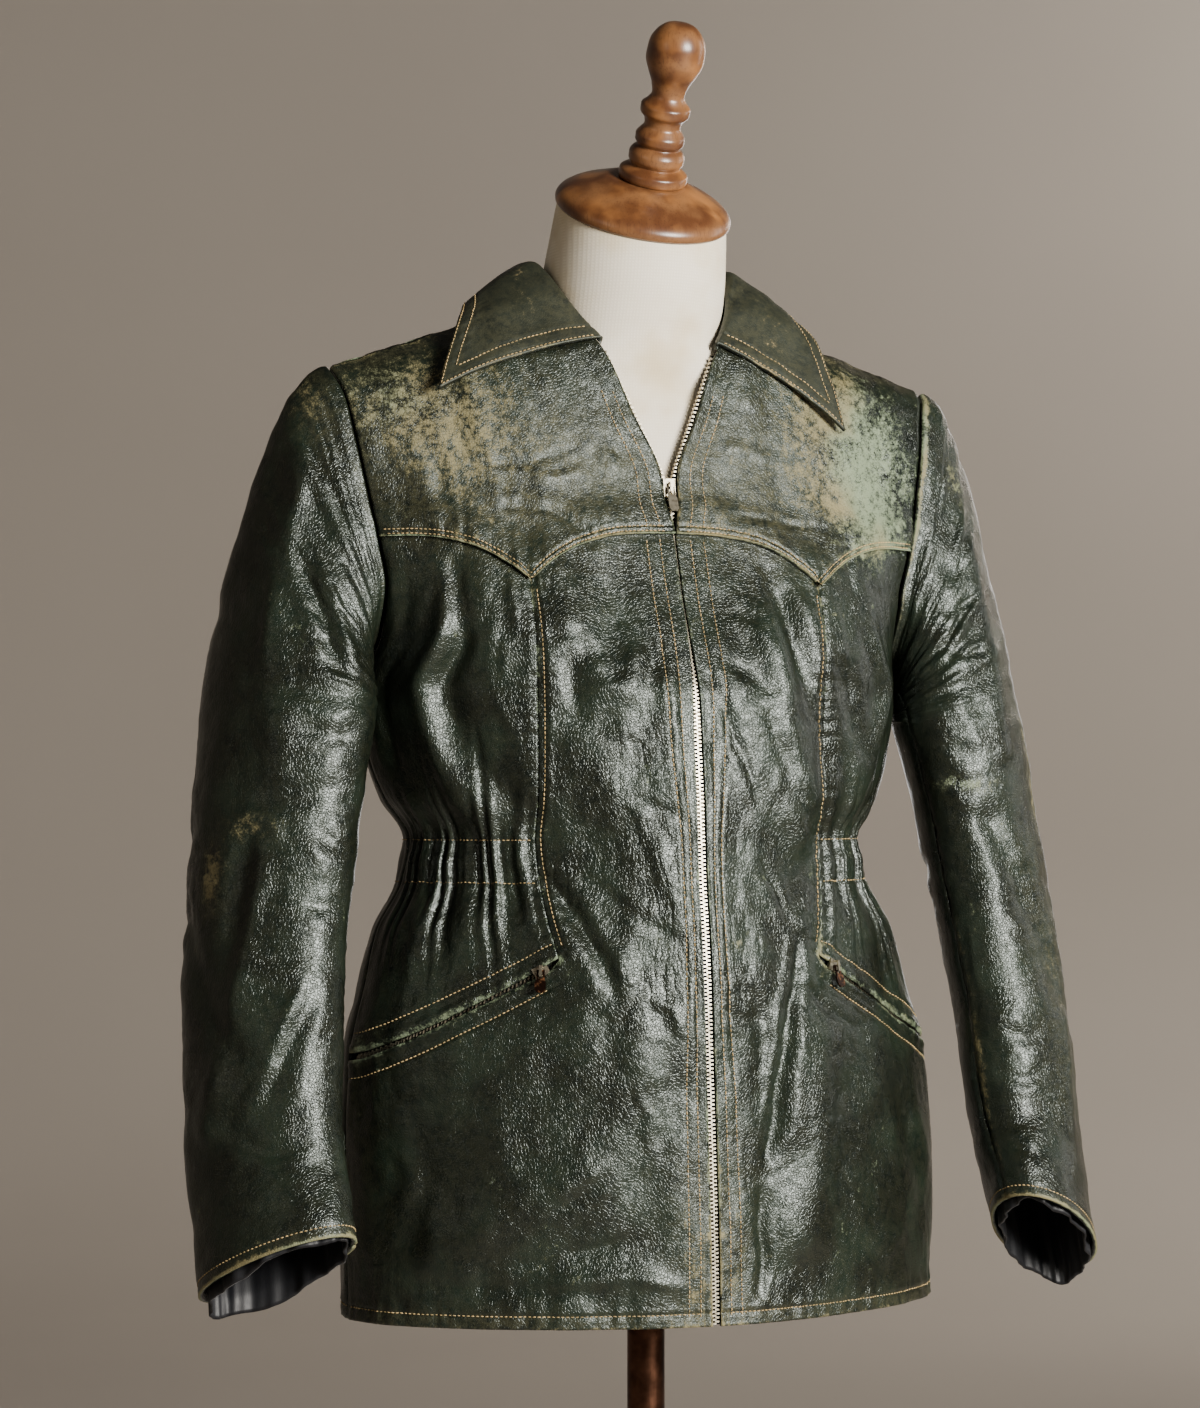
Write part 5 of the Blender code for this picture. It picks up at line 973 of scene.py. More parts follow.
def sew(name, rows, surface, **sizes):
    """One piece of all the stitches of several rows, each row a path with its normals."""
    points, faces, count = [], [], 0
    for path, normal in rows:
        new_points, new_faces = stitches(path, normal, **sizes)
        points.append(new_points)
        faces += [tuple(p + count for p in face) for face in new_faces]
        count += len(new_points)
    made = add_piece(name, np.concatenate(points), faces, surface)
    outward(made)
    return made


def outward(made):
    """Turns every closed part of a piece so that its faces point outwards."""
    work = bmesh.new()
    work.from_mesh(made.data)
    bmesh.ops.recalc_face_normals(work, faces=work.faces)
    work.to_mesh(made.data)
    work.free()


def on_panel(side, t, v, part, lift=THREAD_LIFT):
    """A path on a front panel, on top of all its relief."""
    return on_body("front", side, t, v, lift=lift, relief=panel_relief(side, t, v, part))


# ---------------------------------------------------------------- finishes

def colour(hex_text):
    """A linear colour from its sRGB hex value."""
    parts = [int(hex_text[i:i + 2], 16) / 255 for i in (1, 3, 5)]
    return tuple(c / 12.92 if c <= 0.04045 else ((c + 0.055) / 1.055) ** 2.4 for c in parts) + (1.0,)


def node(tree, kind, inputs=None, output=0, **settings):
    """Adds a node with its settings, values and links, and gives the output asked for."""
    made = tree.nodes.new("ShaderNode" + kind)
    for key, value in settings.items():
        setattr(made, key, value)
    for key, value in (inputs or {}).items():
        if isinstance(value, bpy.types.NodeSocket):
            tree.links.new(value, made.inputs[key])
        else:
            made.inputs[key].default_value = value
    return made.outputs[output]


def finish(name, **sockets):
    """A material with its shader's own sockets set, the function that adds its nodes, and its Object coordinates."""
    made = bpy.data.materials.new(name)
    made.use_nodes = True
    shader = made.node_tree.nodes["Principled BSDF"]
    for key, value in sockets.items():
        shader.inputs[key.replace("_", " ")].default_value = value
    add = functools.partial(node, made.node_tree)
    return made, add, add("TexCoord", output="Object")


def join(made, **sockets):
    """Links worked-out values to the sockets of a material's shader."""
    tree = made.node_tree
    for key, value in sockets.items():
        tree.links.new(value, tree.nodes["Principled BSDF"].inputs[key.replace("_", " ")])
    return made


# Settings that many nodes share: a smooth rise from 0 to 1, a colour over another, a product, a product and a sum.
RISE = {"interpolation_type": "SMOOTHSTEP"}
OVER = {"output": 2, "data_type": "RGBA"}
TIMES = {"operation": "MULTIPLY"}
TIMES_PLUS = {"operation": "MULTIPLY_ADD"}

# Sizes in mm of the hide's unevenness (pebbles are drawn half as coarse again as real ones, to show) and its heights.
PEBBLE, FINE_GRAIN, CRACKLE, DIMPLE, PATCH, FLECK, WOBBLE = 1.9, 0.8, 4.6, 22.0, 38.0, 6.0, 3.5
PEBBLE_RISE, FINE_RISE, CRACKLE_RISE, DIMPLE_RISE = 0.11, 0.09, 0.20, 2.3


def leather(name, dark, light, rubbed, tan, rough=0.26, relief=1.0):
    """Drum-dyed, glazed goat or horse hide: a dark pigment coat over tan, glossy, pebbled, and rubbed pale at the
    folds, so the eye gets sharp broken highlights on near-black green.

    IOR 1.5; glazed hide has roughness 0.25-0.45."""
    made, add, where = finish(name, IOR=1.5, Specular_Tint=(0.90, 1.0, 0.96, 1.0))
    wear = add("Attribute", output="Fac", attribute_name="wear")
    warm = add("Attribute", output="Fac", attribute_name="warm")
    wobble = add("TexNoise", {"Vector": where, "Scale": 1000 / WOBBLE, "Detail": 1.0}, "Color")
    moved = add("VectorMath", {0: wobble, 1: (0.0016, 0.0016, 0.0016), 2: where}, operation="MULTIPLY_ADD")
    cell = add("TexVoronoi", {"Vector": moved, "Scale": 1000 / PEBBLE}, "Distance", feature="DISTANCE_TO_EDGE")
    pebble = add("MapRange", {0: cell, 1: 0.0, 2: 0.22}, **RISE)
    fine = add("TexNoise", {"Vector": where, "Scale": 1000 / FINE_GRAIN, "Detail": 1.0, "Roughness": 0.5})
    drawn = add("Mapping", {"Vector": where, "Scale": (1.0, 1.0, 0.7)})
    crackle = add("TexNoise", {"Vector": drawn, "Scale": 1000 / CRACKLE, "Detail": 2.0, "Roughness": 0.6},
                  noise_type="RIDGED_MULTIFRACTAL")
    dimple = add("TexNoise", {"Vector": where, "Scale": 1000 / DIMPLE, "Detail": 2.0, "Roughness": 0.45})
    patch = add("TexNoise", {"Vector": where, "Scale": 1000 / PATCH, "Detail": 2.0, "Roughness": 0.55})
    fleck = add("TexNoise", {"Vector": where, "Scale": 1000 / FLECK, "Detail": 5.0, "Roughness": 0.85})
    edge, gloss, height = wear, rough - 0.07, 0.0
    for value, gain in ((fleck, 1.2), (patch, 0.40), (pebble, 0.07)):
        edge = add("Math", {0: value, 1: gain, 2: edge}, **TIMES_PLUS)
    bare = add("MapRange", {0: edge, 1: 1.10, 2: 1.40}, **RISE)
    for value, gain in ((patch, 0.14), (bare, 0.28), (warm, 0.14)):
        gloss = add("Math", {0: value, 1: gain, 2: gloss}, **TIMES_PLUS)
    for value, rise in ((pebble, PEBBLE_RISE), (fine, FINE_RISE), (crackle, -CRACKLE_RISE), (dimple, DIMPLE_RISE)):
        height = add("Math", {0: value, 1: rise, 2: height}, **TIMES_PLUS)
    coat = add("MapRange", {0: patch, 1: 0.35, 2: 0.7}, **RISE)
    base = add("Mix", {0: coat, 6: colour(dark), 7: colour(light)}, **OVER)
    faded = add("Math", {0: warm, 1: add("MapRange", {0: fleck, 1: 0.36, 2: 0.60}, **RISE)}, **TIMES)
    base = add("Mix", {0: faded, 6: base, 7: colour("#3a3a29")}, **OVER)
    tanned = add("Math", {0: warm, 1: 0.6, 2: patch}, **TIMES_PLUS)
    tanned = add("MapRange", {0: tanned, 1: 0.55, 2: 1.00}, **RISE)
    pale = add("Mix", {0: tanned, 6: colour(rubbed), 7: colour(tan)}, **OVER)
    return join(made, Base_Color=add("Mix", {0: bare, 6: base, 7: pale}, **OVER), Roughness=gloss,
                Normal=add("Bump", {"Height": height, "Distance": MM, "Strength": relief}))


HIDE = leather("glazed_green_hide", "#0a0f0b", "#151f17", "#76846a", "#7d7553")
COLLAR_HIDE = leather("matt_green_hide", "#161913", "#23271e", "#7c8464", "#9c8a62", rough=0.46, relief=0.5)


def thread_finish():
    """Twisted linen thread, waxed: two plies wound at 45 degrees, dull gold gone grey in places. Roughness 0.7."""
    made, add, where = finish("waxed_linen_thread", IOR=1.53, Roughness=0.7)
    age = add("TexNoise", {"Vector": where, "Scale": 1000 / 14.0, "Detail": 3.0, "Roughness": 0.6})
    age = add("MapRange", {0: age, 1: 0.35, 2: 0.65}, **RISE)
    tint = add("Mix", {0: age, 6: colour("#8d7c55"), 7: colour("#d2b581")}, **OVER)
    ply = add("TexWave", {"Vector": where, "Scale": 700.0, "Distortion": 1.0}, "Fac")
    shade = add("Math", {0: ply, 1: 0.35}, **TIMES)
    return join(made, Base_Color=add("Mix", {0: shade, 6: tint, 7: colour("#6d5c3c")}, **OVER),
                Normal=add("Bump", {"Height": ply, "Distance": 0.0001, "Strength": 0.6}))


def zip_metal_finish():
    """Nickel-plated brass, stamped and tumbled: bright, with fine scratches and dull brown in the hollows."""
    made, add, where = finish("nickel_plated_brass", Metallic=1.0)
    grime = add("TexNoise", {"Vector": where, "Scale": 1000 / 2.4, "Detail": 3.0, "Roughness": 0.6})
    grime = add("MapRange", {0: grime, 1: 0.45, 2: 0.75}, **RISE)
    drawn = add("Mapping", {"Vector": where, "Scale": (1.0, 1.0, 0.15)})
    scratch = add("TexNoise", {"Vector": drawn, "Scale": 1000 / 0.5, "Detail": 2.0, "Roughness": 0.7})
    return join(made, Base_Color=add("Mix", {0: grime, 6: colour("#b3ac99"), 7: colour("#5f5645")}, **OVER),
                Roughness=add("Math", {0: scratch, 1: 0.24, 2: 0.24}, **TIMES_PLUS),
                Normal=add("Bump", {"Height": scratch, "Distance": 0.00005, "Strength": 0.3}))


def brown_metal_finish():
    """Antiqued brass tab: lacquered dark brown, worn to copper on its high spots."""
    made, add, where = finish("antiqued_brass", Metallic=0.9)
    rub = add("TexNoise", {"Vector": where, "Scale": 1000 / 3.0, "Detail": 3.0, "Roughness": 0.6})
    worn = add("MapRange", {0: rub, 1: 0.50, 2: 0.72}, **RISE)
    return join(made, Base_Color=add("Mix", {0: worn, 6: colour("#2c1c14"), 7: colour("#9a6a48")}, **OVER),
                Roughness=add("Math", {0: rub, 1: 0.3, 2: 0.22}, **TIMES_PLUS))


def tape_finish():
    """Woven cotton zip tape: dull dark green, a herringbone of threads 0.5 mm apart, drawn at 0.9 mm to show."""
    made, add, where = finish("cotton_zip_tape", IOR=1.5, Roughness=0.9)
    weave = add("TexWave", {"Vector": where, "Scale": 1000 / 0.9 / 6.3, "Distortion": 0.6}, "Fac",
                bands_direction="Z")
    return join(made, Base_Color=add("Mix", {0: weave, 6: colour("#121614"), 7: colour("#2a312b")}, **OVER),
                Normal=add("Bump", {"Height": weave, "Distance": 0.0002, "Strength": 0.6}))


def satin_finish():
    """Acetate satin: blue-black, with a sheen that follows the warp; threads too fine to show are drawn 0.6 mm."""
    made, add, where = finish("acetate_satin", IOR=1.48, Anisotropic=0.5, Sheen_Weight=0.05, Sheen_Roughness=0.3)
    drawn = add("Mapping", {"Vector": where, "Scale": (1.0, 1.0, 0.08)})
    warp = add("TexNoise", {"Vector": drawn, "Scale": 1000 / 0.6, "Detail": 2.0, "Roughness": 0.6})
    return join(made, Base_Color=add("Mix", {0: warp, 6: colour("#07080c"), 7: colour("#12141a")}, **OVER),
                Roughness=add("Math", {0: warp, 1: 0.2, 2: 0.42}, **TIMES_PLUS),
                Normal=add("Bump", {"Height": warp, "Distance": 0.0002, "Strength": 0.35}))


def canvas_finish():
    """Unbleached cotton drawn tight: cream, matt, plain weave of 1 mm threads, soft ochre stains scattered at random.
    """
    made, add, where = finish("unbleached_cotton", IOR=1.5, Roughness=0.82, Sheen_Weight=0.15)
    stain = add("TexNoise", {"Vector": where, "Scale": 1000 / 45.0, "Detail": 3.0, "Roughness": 0.55})
    stain = add("MapRange", {0: stain, 1: 0.35, 2: 0.75}, **RISE)
    threads = {"Vector": where, "Scale": 160.0, "Distortion": 0.4}
    across, up = (add("TexWave", threads, "Fac", bands_direction=way) for way in "XZ")
    weave = add("Math", {0: across, 1: up}, operation="MAXIMUM")
    base = add("Mix", {0: stain, 6: colour("#f4ecda"), 7: colour("#dfcfac")}, **OVER)
    shade = add("Math", {0: weave, 1: 0.18}, **TIMES)
    return join(made, Base_Color=add("Mix", {0: shade, 6: base, 7: colour("#b8a684")}, **OVER),
                Normal=add("Bump", {"Height": weave, "Distance": 0.00015, "Strength": 0.4}))


def wood_finish():
    """Turned walnut, stained and French polished: rings 3 mm apart along the turning, soft gloss, dark pores."""
    made, add, where = finish("polished_walnut", IOR=1.5, Coat_Weight=0.25, Coat_Roughness=0.25)
    bend = add("TexNoise", {"Vector": where, "Scale": 1000 / 30.0, "Detail": 3.0, "Roughness": 0.5})
    bend = add("MapRange", {0: bend, 1: 0.5, 2: 0.8}, **RISE)
    drawn = add("Mapping", {"Vector": where, "Scale": (1.0, 1.0, 0.25)})
    rings = add("TexWave", {"Vector": drawn, "Scale": 55.0, "Distortion": 5.0, "Detail": 3.0}, "Fac",
                wave_type="RINGS")
    grain = add("Mapping", {"Vector": where, "Scale": (1.0, 1.0, 0.06)})
    pore = add("TexNoise", {"Vector": grain, "Scale": 1000 / 0.9, "Detail": 2.0, "Roughness": 0.6})
    base = add("Mix", {0: rings, 6: colour("#5a3720"), 7: colour("#7f5736")}, **OVER)
    deep = add("Math", {0: add("MapRange", {0: pore, 1: 0.5, 2: 0.75}, **RISE), 1: 0.6}, **TIMES)
    base = add("Mix", {0: deep, 6: base, 7: colour("#3f2212")}, **OVER)
    return join(made, Base_Color=add("Mix", {0: bend, 6: base, 7: colour("#a8713f")}, **OVER),
                Roughness=add("Math", {0: pore, 1: 0.15, 2: 0.26}, **TIMES_PLUS),
                Normal=add("Bump", {"Height": pore, "Distance": 0.0002, "Strength": 0.2}))


def bronze_finish():
    """Bronzed steel tube: brown lacquer over copper plating, fine drawn lines along it."""
    made, add, where = finish("bronzed_steel", Metallic=1.0)
    drawn = add("Mapping", {"Vector": where, "Scale": (1.0, 1.0, 0.05)})
    line = add("TexNoise", {"Vector": drawn, "Scale": 1000 / 1.2, "Detail": 2.0, "Roughness": 0.6})
    age = add("TexNoise", {"Vector": where, "Scale": 1000 / 24.0, "Detail": 3.0, "Roughness": 0.6})
    age = add("MapRange", {0: age, 1: 0.35, 2: 0.7}, **RISE)
    return join(made, Base_Color=add("Mix", {0: age, 6: colour("#3a261c"), 7: colour("#6b4a39")}, **OVER),
                Roughness=add("Math", {0: line, 1: 0.2, 2: 0.24}, **TIMES_PLUS))


THREAD = thread_finish()
ZIP_METAL, BROWN_METAL, TAPE, SATIN = zip_metal_finish(), brown_metal_finish(), tape_finish(), satin_finish()
CANVAS, WALNUT, BRONZE = canvas_finish(), wood_finish(), bronze_finish()


# ---------------------------------------------------------------- wear

# Rubbed patches under their surface and side.
# Columns: across, height, half_across and half_up in mm, wear added, warmth added.
PATCHES = {
    ("front", -1): (
        (0.85, 1300, 70, 50, 0.27, 0.3),
        (0.55, 1280, 60, 60, 0.18, 0.2),
        (0.50, 1250, 120, 60, 0.07, 0.8),
        (0.30, 1250, 50, 30, 0.05, 0.9),
        (0.95, 880, 26, 16, 0.20, 0.2),
        (0.96, 800, 22, 60, 0.10, 0.6),
    ),
    ("front", 1): (
        (0.72, 1258, 66, 64, 0.42, -0.3),
        (0.45, 1310, 70, 45, 0.22, 0.3),
        (0.85, 1215, 50, 30, 0.14, 0.0),
        (0.08, 1245, 30, 26, 0.05, 1.0),
        (0.20, 1215, 70, 30, 0.08, 0.3),
        (0.35, 1250, 90, 60, 0.06, 0.6),
        (0.95, 878, 26, 16, 0.24, 0.2),
    ),
    ("back", -1): (
        (0.25, 1310, 80, 45, 0.26, 0.3),
        (0.60, 1230, 80, 30, 0.10, 0.3),
    ),
    ("back", 1): (
        (0.25, 1310, 80, 45, 0.28, 0.1),
        (0.60, 1220, 80, 30, 0.10, 0.3),
    ),
    ("sleeve", -1): (
        (0.42, 1.30, 9, 24, 0.42, 1.0),
        (0.33, 1.20, 16, 8, 0.22, 0.4),
        (0.47, 0.20, 24, 30, 0.22, 0.8),
        (0.30, 0.06, 40, 14, 0.20, 0.5),
    ),
    ("sleeve", 1): (
        (0.15, 1.12, 24, 7, 0.40, 0.3),
        (0.37, 1.10, 7, 50, 0.30, 0.6),
        (0.40, 0.30, 10, 40, 0.30, 0.4),
        (0.30, 0.04, 60, 10, 0.34, 0.6),
        (0.05, 1.70, 4, 90, 0.30, 1.0),
        (0.35, 1.50, 30, 120, 0.06, 0.5),
    ),
}


def patches(surface, side, x, y, scale):
    """Wear and warmth from the table: bells of the given half sizes."""
    wear, warm = np.full(np.shape(x), 0.06), np.full(np.shape(x), 0.18)
    for a, b, half_a, half_b, add, tint in PATCHES[surface, side]:
        bell = np.exp(-(((x - a * scale[0]) / half_a) ** 2) - ((y - b * scale[1]) / half_b) ** 2)
        wear, warm = wear + add * bell, warm + tint * bell
    scuff = cloud(x / 3.5, y / 6, 2) * cloud(x / 27, y / 21, 5)
    return wear + 0.18 * smooth_step(scuff, 0.60, 0.80), np.clip(warm, 0, 1)


def band(distance, width, gain):
    """Wear along an edge: full at the edge and gone past width."""
    return gain * hump(np.maximum(distance, 0), width)


def front_wear(side, t, v, part):
    """Wear and warmth of a front panel: the patches, and bands along its edges, seams and stitch rows."""
    wear, warm = patches("front", side, t * QUARTER_GIRTH, v, (QUARTER_GIRTH, 1.0))
    width = front_base(t, v)[..., 0]
    to_zip = t * QUARTER_GIRTH * ZIP_RUN
    if part in ("centre", "yoke"):
        wear = wear + band(to_zip, 1.7, 0.22 + 0.24 * smooth_step(900 - v, 0, 120))
        for row in PLACKET_ROWS:
            low = 0.05 + 0.22 * smooth_step(860 - v, 0, 120)
            wear = wear + low * hump(np.abs(to_zip - row) - 1.8, 1.2)
        warm = warm + 0.6 * smooth_step(860 - v, 0, 120) * hump(to_zip, 20.0)
    if part != "yoke":
        pocket = np.abs(v - pocket_line(width)) * POCKET_SLANT
        near = smooth_step(width, POCKET_X - 6, POCKET_X + 2)
        wear = wear + near * (band(pocket - 2.0, 2.4, 0.32) + 0.08 * hump(pocket - 10, 3))
        seam = np.abs(t - princess(v)) * PRINCESS_RUN * QUARTER_GIRTH
        above = smooth_step(v - pocket_line(width), -2, 2)
        wear = wear + above * (band(seam, 1.5, 0.26) + 0.05 * hump(seam - 4, 2))
    if part == "centre":
        wear = wear + band(v - HEM, 2.0, 0.24)
        warm = warm + 0.5 * hump(v - HEM, 10.0)
    if part == "yoke":
        up = v - yoke_seam(width)
        wear = wear + band(up, 1.6, 0.36) + 0.10 * hump(up - 5, 4)
        wear = wear + band(SHOULDER - v, 5.0, 0.16)
        warm = warm + 0.6 * hump(SHOULDER - v, 12.0)
    return {"wear": wear, "warm": np.clip(warm, 0, 1)}


# ---------------------------------------------------------------- panels

SIDE_NAME = {1: "left", -1: "right"}
EDGE = SEAM_GAP / 2 / QUARTER_GIRTH
SHOULDER_INSET = 0.25
RIDGE_UP = np.array((0.316, 0.0, 0.949))
NECK_SHARE, SHEAR_FROM = 0.70, 1168.0
SKIRT_ZIP_TOP, POCKET_ZIP_TOP = 828.0, 905.0


def side_front_edges(share):
    """Rows of the side front's lower and upper edges at each share across."""
    t_low, t_high = float(princess(POCKET_Z)), float(princess(YOKE_POINT_Z))
    low = along_line(pocket_line, t_low + share * (1 - t_low), POCKET_Z, POCKET_GAP / 2)
    high = along_line(yoke_seam, t_high + share * (1 - t_high), YOKE_POINT_Z, LAP)
    return low, high


def side_front_place(share, rise):
    """(t, v) of the side front at a share across and a share up."""
    low, high = side_front_edges(share)
    v = low + rise * (high - low)
    start = princess(v) + EDGE
    return start + share * (1 - EDGE - start), v


def side_front(side):
    """The gathered panel, ruled between the pocket and the yoke seam from the princess seam to the side."""
    share = np.linspace(0, 1, whole_steps(88))
    rise = np.linspace(0, 1, whole_steps(175))[:, None]
    t, v = side_front_place(share, rise)
    base, normal = on_body("front", side, t, v)
    relief = panel_relief(side, t, v, "side") + drawn_in(SIDE_GATHERS, np.broadcast_to(share, v.shape), v, side)
    made = hide_wall(f"hide_side_front_{SIDE_NAME[side]}", base, normal, relief, HIDE,
                     [f"side_front_{SIDE_NAME[side]}"], front_wear(side, t, v, "side"), flip=side < 0)


def centre_front_grid(rows_skirt, rows_pocket, rows_seam, columns):
    """(t, v): rows run from the zip to the side seam, then to the pocket's slit, then to the princess seam."""
    low, high = side_front_edges(np.array([0.0]))
    seam_v = np.linspace(float(low[0]) - POCKET_GAP, float(high[0]), rows_seam)
    seam_t = princess(seam_v) - EDGE
    up = np.arange(rows_pocket) / rows_pocket
    pocket_t = 1 - EDGE + (seam_t[0] - (1 - EDGE)) * up
    pocket_v = along_line(pocket_line, pocket_t, POCKET_Z, -POCKET_GAP / 2)
    lower = np.arange(rows_skirt) / rows_skirt
    skirt_v = HEM + (pocket_v[0] - HEM) * lower
    edge_t = np.concatenate([np.full(rows_skirt, 1 - EDGE), pocket_t, seam_t])
    edge_v = np.concatenate([skirt_v, pocket_v, seam_v])
    seam_up = np.linspace(0, 1, rows_seam)
    top_zip = float(yoke_seam(0.0)) + LAP
    zip_v = np.concatenate([HEM + (SKIRT_ZIP_TOP - HEM) * lower,
                            SKIRT_ZIP_TOP + (POCKET_ZIP_TOP - SKIRT_ZIP_TOP) * up,
                            POCKET_ZIP_TOP + (top_zip - POCKET_ZIP_TOP) * seam_up])
    share = np.linspace(0, 1, columns)
    t = edge_t[:, None] * share
    v = zip_v[:, None] + (edge_v - zip_v)[:, None] * share ** 1.3
    straight_top = v[-1].copy()
    top = along_line(yoke_seam, t[-1], YOKE_POINT_Z, LAP)
    v[-rows_seam:] += seam_up[:, None] * (top - straight_top)
    return t, v


def centre_front(side):
    """The panel from the zip outwards, whose outer edge is the side seam, the pocket and the princess seam."""
    t, v = centre_front_grid(96, 62, 173, whole_steps(138))
    base, normal = on_body("front", side, t, v)
    relief = panel_relief(side, t, v, "centre")
    made = hide_wall(f"hide_front_{SIDE_NAME[side]}", base, normal, relief, HIDE,
                     [f"front_{SIDE_NAME[side]}"], front_wear(side, t, v, "centre"), flip=side < 0)


def yoke(side):
    """The panel over the others, ruled between the scalloped seam and the shoulder, closer rows at the foot."""
    share = np.linspace(0, 1, whole_steps(130))
    t_point = float(across_at(YOKE_POINT_X, YOKE_POINT_Z))
    share[int(round(t_point * (len(share) - 1)))] = t_point
    across = share * (1 - EDGE)
    low = along_line(yoke_seam, across, YOKE_POINT_Z)
    rise = (np.linspace(0, 1, whole_steps(115)) ** 1.35)[:, None]
    v = low + rise * (SHOULDER - SHOULDER_INSET - low)
    t = np.broadcast_to(across, v.shape)
    base, normal = on_body("front", side, t, v)
    normal[-1] = RIDGE_UP * np.array([side, 1, 1])
    relief = panel_relief(side, t, v, "yoke")
    made = hide_wall(f"hide_yoke_{SIDE_NAME[side]}", base, normal, relief, HIDE,
                     [f"yoke_{SIDE_NAME[side]}"], front_wear(side, t, v, "yoke"), flip=side < 0)


def back():
    """The back in one: rows from side to side that shear up to the neckline above the blades."""
    column = np.linspace(0, 1, whole_steps(108))
    top_t = np.minimum(column / NECK_SHARE, 1.0)
    past = np.clip((column - NECK_SHARE) / (1 - NECK_SHARE), 0, 1)
    ridge = SHOULDER - SHOULDER_INSET
    top_v = ridge - past * (ridge - NECK_BACK)
    top_x = back_base(top_t, top_v)[..., 0]
    levels = np.linspace(HEM, NECK_BACK, whole_steps(305))[:, None]
    stretch = (top_v - SHEAR_FROM) / (NECK_BACK - SHEAR_FROM)
    v = np.where(levels > SHEAR_FROM, SHEAR_FROM + (levels - SHEAR_FROM) * stretch, levels)
    t = np.broadcast_to(column, v.shape).copy()
    above = levels[:, 0] > SHEAR_FROM
    rise = (v[above] - SHEAR_FROM) / (top_v - SHEAR_FROM)
    foot_x = back_base(column, np.full(column.shape, SHEAR_FROM))[..., 0]
    side_x = back_base(np.zeros_like(v[above]), v[above])[..., 0]
    t[above] = row_share(back_base, np.minimum(foot_x + (top_x - foot_x) * rise, side_x), v[above], 0.0, 1.0, -1)
    t[-1] = top_t
    t = np.clip(t, EDGE, 1.0)
    grids = []
    for side in (-1, 1):
        share = np.broadcast_to(column / 2 if side < 0 else 1 - column / 2, v.shape)
        base, normal = on_body("back", side, t, v)
        normal[-1, top_t < 1] = RIDGE_UP * np.array([side, 1, 1])
        relief = back_relief(side, t, v, share)
        wear, warm = patches("back", side, t * QUARTER_GIRTH, v, (QUARTER_GIRTH, 1.0))
        wear = wear + band(v - HEM, 2.5, 0.34) + band(t * QUARTER_GIRTH, 1.5, 0.2) + band(ridge - v, 4.0, 0.3)
        grids.append((base, normal, relief, wear, warm))
    right, left = grids
    base, normal, relief, wear, warm = (np.concatenate([a, b[:, -2::-1]], axis=1) for a, b in zip(left, right))
    made = hide_wall("hide_back", base, normal, relief, HIDE, ["back"], {"wear": wear, "warm": warm})


# ---------------------------------------------------------------- sleeves and linings

SLEEVE_EDGE = SEAM_GAP / 2 / 290.0
LINING_GATHERS = 12
LINING_WALL, LINING_DEPTH = 1.2, 6.0


def sleeve_wear(side, share, down):
    """Wear and warmth of a sleeve: the patches, and bands at the cuff, the cap seam and the two seams."""
    wear, warm = patches("sleeve", side, share * SLEEVE_GIRTH, down * SLEEVE_LENGTH, (SLEEVE_GIRTH, SLEEVE_LENGTH))
    cuff = (2.0 - down) * SLEEVE_LENGTH * 0.9
    wear = wear + band(cuff, 1.7, 0.62) + band(cuff, 9.0, 0.08)
    warm = warm + 0.5 * hump(cuff, 6.0)
    top = band(down * 60, 3.5, 0.36 if side > 0 else 0.12)
    wear = wear + top * smooth_step(share, 0.12, 0.3) * (0.25 + 0.75 * cloud(share * 22, 0 * share + side, 4))
    for seam in (FRONT_SLEEVE_SEAM, BACK_SLEEVE_SEAM):
        off = np.abs(np.mod(share - seam + 0.5, 1.0) - 0.5) * SLEEVE_GIRTH
        wear = wear + band(off, 1.2, 0.18)
    return {"wear": wear, "warm": np.clip(warm, 0, 1)}


def sleeve_panel(name, side, start, end, columns):
    """One panel of a sleeve, between two shares round, from the cuff up to the armhole."""
    share = np.linspace(start + SLEEVE_EDGE, end - SLEEVE_EDGE, columns)
    down = np.linspace(2.0, 0.0, whole_steps(325))[:, None]
    share, down = np.broadcast_arrays(share, down)
    base, normal = on_sleeve(side, share, down)
    relief = sleeve_relief(side, share, down)
    made = hide_wall(f"hide_{name}_{SIDE_NAME[side]}", base, normal, relief, HIDE,
                     [f"{name}_{SIDE_NAME[side]}"], sleeve_wear(side, share, down), flip=side < 0)


def tube_wall(name, outer, normal, thick, surface, flip):
    """A closed wall round a tube of points, rows down and columns round."""
    rows, columns = outer.shape[:2]
    inner = outer - thick * normal
    start = rows * columns
    faces = grid_faces(rows, columns, 0, True, flip) + grid_faces(rows, columns, start, True, not flip)
    for row, turned in ((0, flip), (rows - 1, not flip)):
        for j in range(columns):
            k = (j + 1) % columns
            face = (start + row * columns + j, start + row * columns + k, row * columns + k, row * columns + j)
            faces.append(face[::-1] if turned else face)
    return add_piece(name, np.concatenate([outer.reshape(-1, 3), inner.reshape(-1, 3)]), faces, surface)


